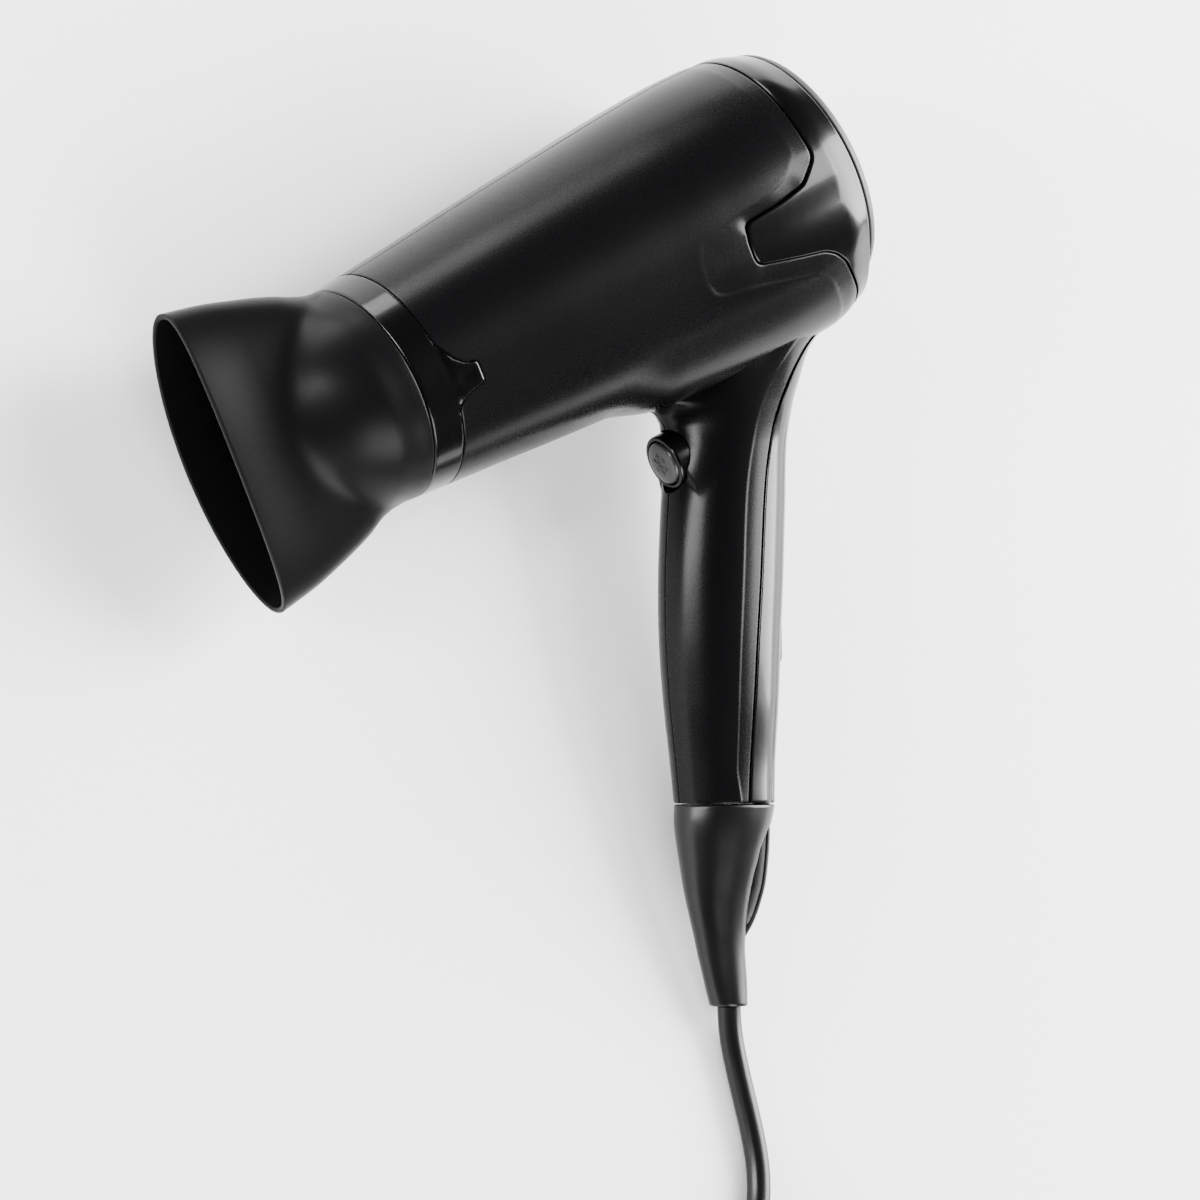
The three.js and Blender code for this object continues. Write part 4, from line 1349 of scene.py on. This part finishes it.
class DRYER_OT_shells(BuildStep):
    """Build the two satin shells and the glossy back cover"""

    bl_idname = "dryer.shells"
    bl_label = "Shells and cover"

    def build(self, sizes):
        for name, side in (("housing_left", 1), ("housing_right", -1)):
            half = union("shell_" + name[8:], shell_half(side), handle_half(side))
            hole = [(0, 62), (BUTTON_HOLE, 62), (BUTTON_HOLE, 84), (0, 84)]
            carve(half, spun(hole, 128, down=BUTTON_DOWN))
            screw_posts(half, side)
            dress(half, "shell", nodes=[name])
        cover = union("rear_cover", back_cover(), spine())
        for middle, flat in KNOBS.values():
            carve(cover, knob_pocket(middle, flat))
        dress(cover, "gloss_cover", nodes=["back_cover"])


class DRYER_OT_front(BuildStep):
    """Build the front ring, the nozzle with its collar and the outlet grille"""

    bl_idname = "dryer.front"
    bl_label = "Ring and nozzle"

    def build(self, sizes):
        dress(add_object("front_ring_fine", *ring_skin()), "gloss_cover", nodes=["front_ring"])
        dress(add_object("nozzle_fine", *nozzle_shell(), angle=40), "nozzle", "nozzle", ["nozzle"])
        dress(add_object("collar_fine", *nozzle_collar()), "nozzle", "collar", ["nozzle_collar"])
        hoops = add_object("outlet_hoops", *merge(
            spun(rounded([(24.1, 8.8), (25.9, 8.8), (25.9, 11.8), (24.1, 11.8)], 0.3), 128),
            spun(rounded([(17.4, 9.2), (18.5, 9.2), (18.5, 11.4), (17.4, 11.4)], 0.3), 96),
            spun(rounded([(11.2, 9.2), (12.3, 9.2), (12.3, 11.4), (11.2, 11.4)], 0.3), 96),
            spun(rounded([(4.4, 9.2), (5.6, 9.2), (5.6, 11.4), (4.4, 11.4)], 0.3), 64)))
        spokes = repeat_round("outlet_spokes", spoke(5.0, 25.0, 0.55, 9.3, 11.3), sizes.outlet_spokes,
                              "heat_plastic")
        dress(joined("outlet_grille_fine", hoops, spokes), "heat_plastic", nodes=["outlet_grille"])


class DRYER_OT_intake(BuildStep):
    """Build the rear intake grille"""

    bl_idname = "dryer.intake"
    bl_label = "Intake grille"

    def build(self, sizes):
        rim = [(31.6, 126.0), (31.6, 135.3), (32.5, 135.32), (32.6, 135.6), (32.35, 136.5), (31.7, 137.3),
               (30.8, 137.7), (29.8, 137.6), (29.2, 136.9), (28.6, dome_back(28.6)),
               (27.6, dome_back(27.6)), (27.6, dome_back(27.6) - 1.6), (29.6, dome_back(29.6) - 1.8),
               (30.4, 133.4), (30.4, 126.0)]
        hub = [(0.01, dome_back(0)), *[(r, dome_back(r)) for r in (3, 5.5, 7.4)], (7.9, dome_back(7.8) - 0.5),
               (7.9, dome_back(7.8) - 1.6), (0.01, dome_back(0) - 1.6)]
        rings = [spun([(r, dome_back(r)), (r + 0.9, dome_back(r + 0.9)), (r + 0.9, dome_back(r) - 1.4),
                       (r, dome_back(r) - 1.4)], 128) for r in (12.0, 17.0, 22.0)]
        rim_object = add_object("intake_rim", *merge(spun(rim, 160), spun(hub, 96), *rings))
        ribs = repeat_round("intake_ribs", dome_rib(7.0, 28.4, 0.5), sizes.grille_ribs, "heat_plastic")
        grille = joined("intake_grille_fine", rim_object, ribs)
        dress(grille, "heat_plastic", "inlet_grille", ["inlet_grille"])


class DRYER_OT_controls(BuildStep):
    """Build the button, its bezel and mark, and the two switch knobs"""

    bl_idname = "dryer.controls"
    bl_label = "Button and knobs"

    def build(self, sizes):
        dress(add_object("bezel_fine", *bezel()), "gloss_cover", nodes=["button_bezel"])
        button = joined("button_fine", add_object("button_cap", *cool_button()),
                        add_object("button_mark", *button_mark()))
        dress(button, "button_plastic", "cool_button", ["cool_button"])
        for name, (middle, flat) in KNOBS.items():
            dress(add_object(name + "_fine", *knob(middle, flat)), "button_plastic", name, [name])


class DRYER_OT_cord(BuildStep):
    """Build the rubber sleeve with its hanging strap, the cord and the plug"""

    bl_idname = "dryer.cord"
    bl_label = "Sleeve, cord and plug"

    def build(self, sizes):
        sleeve = joined("sleeve_fine", add_object("sleeve_body", *relief_body(), angle=40),
                        add_object("sleeve_strap", *strap(), angle=60))
        dress(sleeve, "rubber", nodes=["strain_relief"])
        leaving = to_room(np.array([[1.2, -50.8, 0.0]]))[0]
        exit_point = leaving / MM
        points = [leaving] + [p * MM for p in cord_path(exit_point)]
        curve = bpy.data.curves.new("cord_line", "CURVE")
        curve.dimensions, curve.bevel_depth = "3D", sizes.cord_thickness / 2
        curve.bevel_resolution, curve.resolution_u = 6, 6
        spline = curve.splines.new("NURBS")
        spline.points.add(len(points) - 1)
        for knot, p in zip(spline.points, points):
            knot.co = (*map(float, p), 1.0)
        spline.order_u, spline.use_endpoint_u = 4, True
        curve.use_fill_caps = True
        cable = bpy.data.objects.new("cord_fine", curve)
        bpy.context.scene.collection.objects.link(cable)
        curve.materials.append(finish_of("rubber"))
        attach(cable, "dryer_body")
        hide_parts("cord", "cord_coil", "cord_tail")
        vertices, faces = plug_body()
        moulding = add_object("plug_fine", plug_points(vertices, exit_point), faces, room=True)
        dress(moulding, "rubber", nodes=["plug_body"])
        for tag, offset in (("a", -9.5), ("b", 9.5)):
            vertices, faces = plug_pin(offset)
            pin = add_object("pin_fine_" + tag, plug_points(vertices, exit_point), faces, room=True)
            dress(pin, "plated_brass", nodes=["plug_pin_" + tag])


NODE_SLOTS = {
    "heat_tube": "mica", "heater_board_a": "mica", "heater_board_b": "mica", "heating_coil": "coil_wire",
    "thermostat": "steel", "thermal_fuse": "steel", "motor_mount": "fan_plastic", "motor_can": "steel",
    "motor_shaft": "steel", "fan": "fan_plastic", "inlet_filter": "filter_mesh", "button_spring": "steel",
    "cool_switch": "heat_plastic", "speed_switch": "heat_plastic", "heat_switch": "heat_plastic",
    "rectifier_board": "resin", "cord_clamp": "fan_plastic", "supply_wire": "wire", "link_wire": "wire",
    "motor_wire": "wire", "heater_wire": "wire", "screw_low": "steel", "screw_high": "steel",
    "screw_neck": "steel",
}


class DRYER_OT_inside(BuildStep):
    """Give the parts inside their finishes"""

    bl_idname = "dryer.inside"
    bl_label = "Inner parts"

    def build(self, sizes):
        for node in bpy.context.scene.objects:
            if "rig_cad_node" in node and not node.hide_render:
                slot = NODE_SLOTS.get(node["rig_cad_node"], "resin")
                node.data.materials.clear()
                node.data.materials.append(finish_of(slot))


VIEW_FROM = 0.850 * SIDE - 0.526 * np.array([1.0, 0, 0])
VIEW_CENTRE = (-26.56, 50.75, -16.44)
VIEW_DISTANCE = 2.6
VIEW_WIDTH = 0.3
FLOOR_SPAN = 6000
FLOOR_ROWS = 48
# name, direction (right, up, towards the camera), distance, size, watts
LIGHTS = [
    ("key_back_right", (0.95, 0.28, -0.13), 1.6, (1.2, 1.3), 175),
    ("rear_patch", (0.83, 0.40, 0.34), 1.5, (0.5, 0.5), 22),
    ("lower_right", (0.41, -0.73, 0.54), 1.5, (1.0, 0.8), 40),
    ("top_left", (-0.35, 0.9, 0.30), 1.6, (1.4, 0.5), 38),
    ("left_strip", (-0.75, 0.12, 0.68), 1.3, (0.24, 1.3), 54),
]


class DRYER_OT_stage(BuildStep):
    """Set up the pale floor, the softboxes and the camera"""

    bl_idname = "dryer.stage"
    bl_label = "Studio"

    def build(self, sizes):
        look = VIEW_FROM @ AXES
        look = look / np.linalg.norm(look)
        target = to_room([VIEW_CENTRE])[0]
        camera_data = bpy.data.cameras.new("main_camera")
        camera_data.sensor_width = 36.0
        camera_data.lens = 36.0 * VIEW_DISTANCE / VIEW_WIDTH
        camera = bpy.data.objects.new("main_camera", camera_data)
        bpy.context.scene.collection.objects.link(camera)
        right = np.cross(UP, look)
        right /= np.linalg.norm(right)
        up = np.cross(look, right)
        matrix = Matrix([[right[0], up[0], look[0], 0], [right[1], up[1], look[1], 0],
                         [right[2], up[2], look[2], 0], [0, 0, 0, 1]])
        matrix.translation = Vector((target + look * VIEW_DISTANCE).tolist())
        camera.matrix_world = matrix
        bpy.context.scene.camera = camera

        floor_finish = Finish("pale_floor", Specular_IOR_Level=0.2)
        mottle = floor_finish.noise(6, 3.0)
        floor_finish.give("Base Color", floor_finish.blend(mottle, (0.86, 0.86, 0.86, 1), (0.9, 0.9, 0.9, 1)))
        floor_finish.give("Roughness", 0.75 + mottle * 0.15)
        rows = FLOOR_ROWS
        floor_points, floor_faces = [], []
        for i in range(rows + 1):
            for j in range(rows + 1):
                floor_points.append(((i / rows - 0.5) * FLOOR_SPAN, (j / rows - 0.5) * FLOOR_SPAN, -0.05))
        for i in range(rows):
            for j in range(rows):
                a = i * (rows + 1) + j
                floor_faces.append((a, a + rows + 1, a + rows + 2, a + 1))
        floor = add_object("studio_floor", floor_points, floor_faces, room=True)
        floor.data.materials.append(floor_finish.material)

        for name, direction, range_, size, watts in LIGHTS:
            data = bpy.data.lights.new(name, "AREA")
            data.shape, data.size, data.size_y, data.energy = "RECTANGLE", size[0], size[1], watts
            lamp = bpy.data.objects.new(name, data)
            bpy.context.scene.collection.objects.link(lamp)
            aim = np.array(direction, float)
            aim = (aim[0] * right + aim[1] * up + aim[2] * look)
            aim /= np.linalg.norm(aim)
            place = Vector((target + aim * range_).tolist())
            lamp.location = place
            lamp.rotation_euler = (Vector(target.tolist()) - place).to_track_quat("-Z", "Y").to_euler()
        world = bpy.data.worlds.new("studio_world")
        bpy.context.scene.world = world
        world.use_nodes = True
        world.node_tree.nodes["Background"].inputs[0].default_value = (0.9, 0.92, 1.0, 1)
        world.node_tree.nodes["Background"].inputs[1].default_value = 0.04


class DRYER_PT_panel(bpy.types.Panel):
    """The dryer's build steps and sizes"""

    bl_label = "Travel dryer"
    bl_idname = "DRYER_PT_panel"
    bl_space_type = "VIEW_3D"
    bl_region_type = "UI"
    bl_category = "Dryer"

    def draw(self, context):
        for step in STEPS:
            self.layout.operator(step.bl_idname)
        for group in (context.scene.dryer_sizes, context.scene.dryer_colours):
            for name in group.__annotations__:
                self.layout.prop(group, name)


STEPS = (DRYER_OT_shells, DRYER_OT_front, DRYER_OT_intake, DRYER_OT_controls, DRYER_OT_cord, DRYER_OT_inside,
         DRYER_OT_stage)
CLASSES = (DryerSizes, DryerColours, *STEPS, DRYER_PT_panel)


def register():
    for item in CLASSES:
        bpy.utils.register_class(item)
    bpy.types.Scene.dryer_sizes = bpy.props.PointerProperty(type=DryerSizes)
    bpy.types.Scene.dryer_colours = bpy.props.PointerProperty(type=DryerColours)


def unregister():
    del bpy.types.Scene.dryer_sizes
    del bpy.types.Scene.dryer_colours
    for item in reversed(CLASSES):
        bpy.utils.unregister_class(item)


def main():
    """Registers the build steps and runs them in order."""
    for name in ("Cube", "Light", "Camera"):
        if name in bpy.data.objects:
            bpy.data.objects.remove(bpy.data.objects[name])
    register()
    for step in STEPS:
        group, name = step.bl_idname.split(".")
        getattr(getattr(bpy.ops, group), name)()


if __name__ == "__main__":
    main()
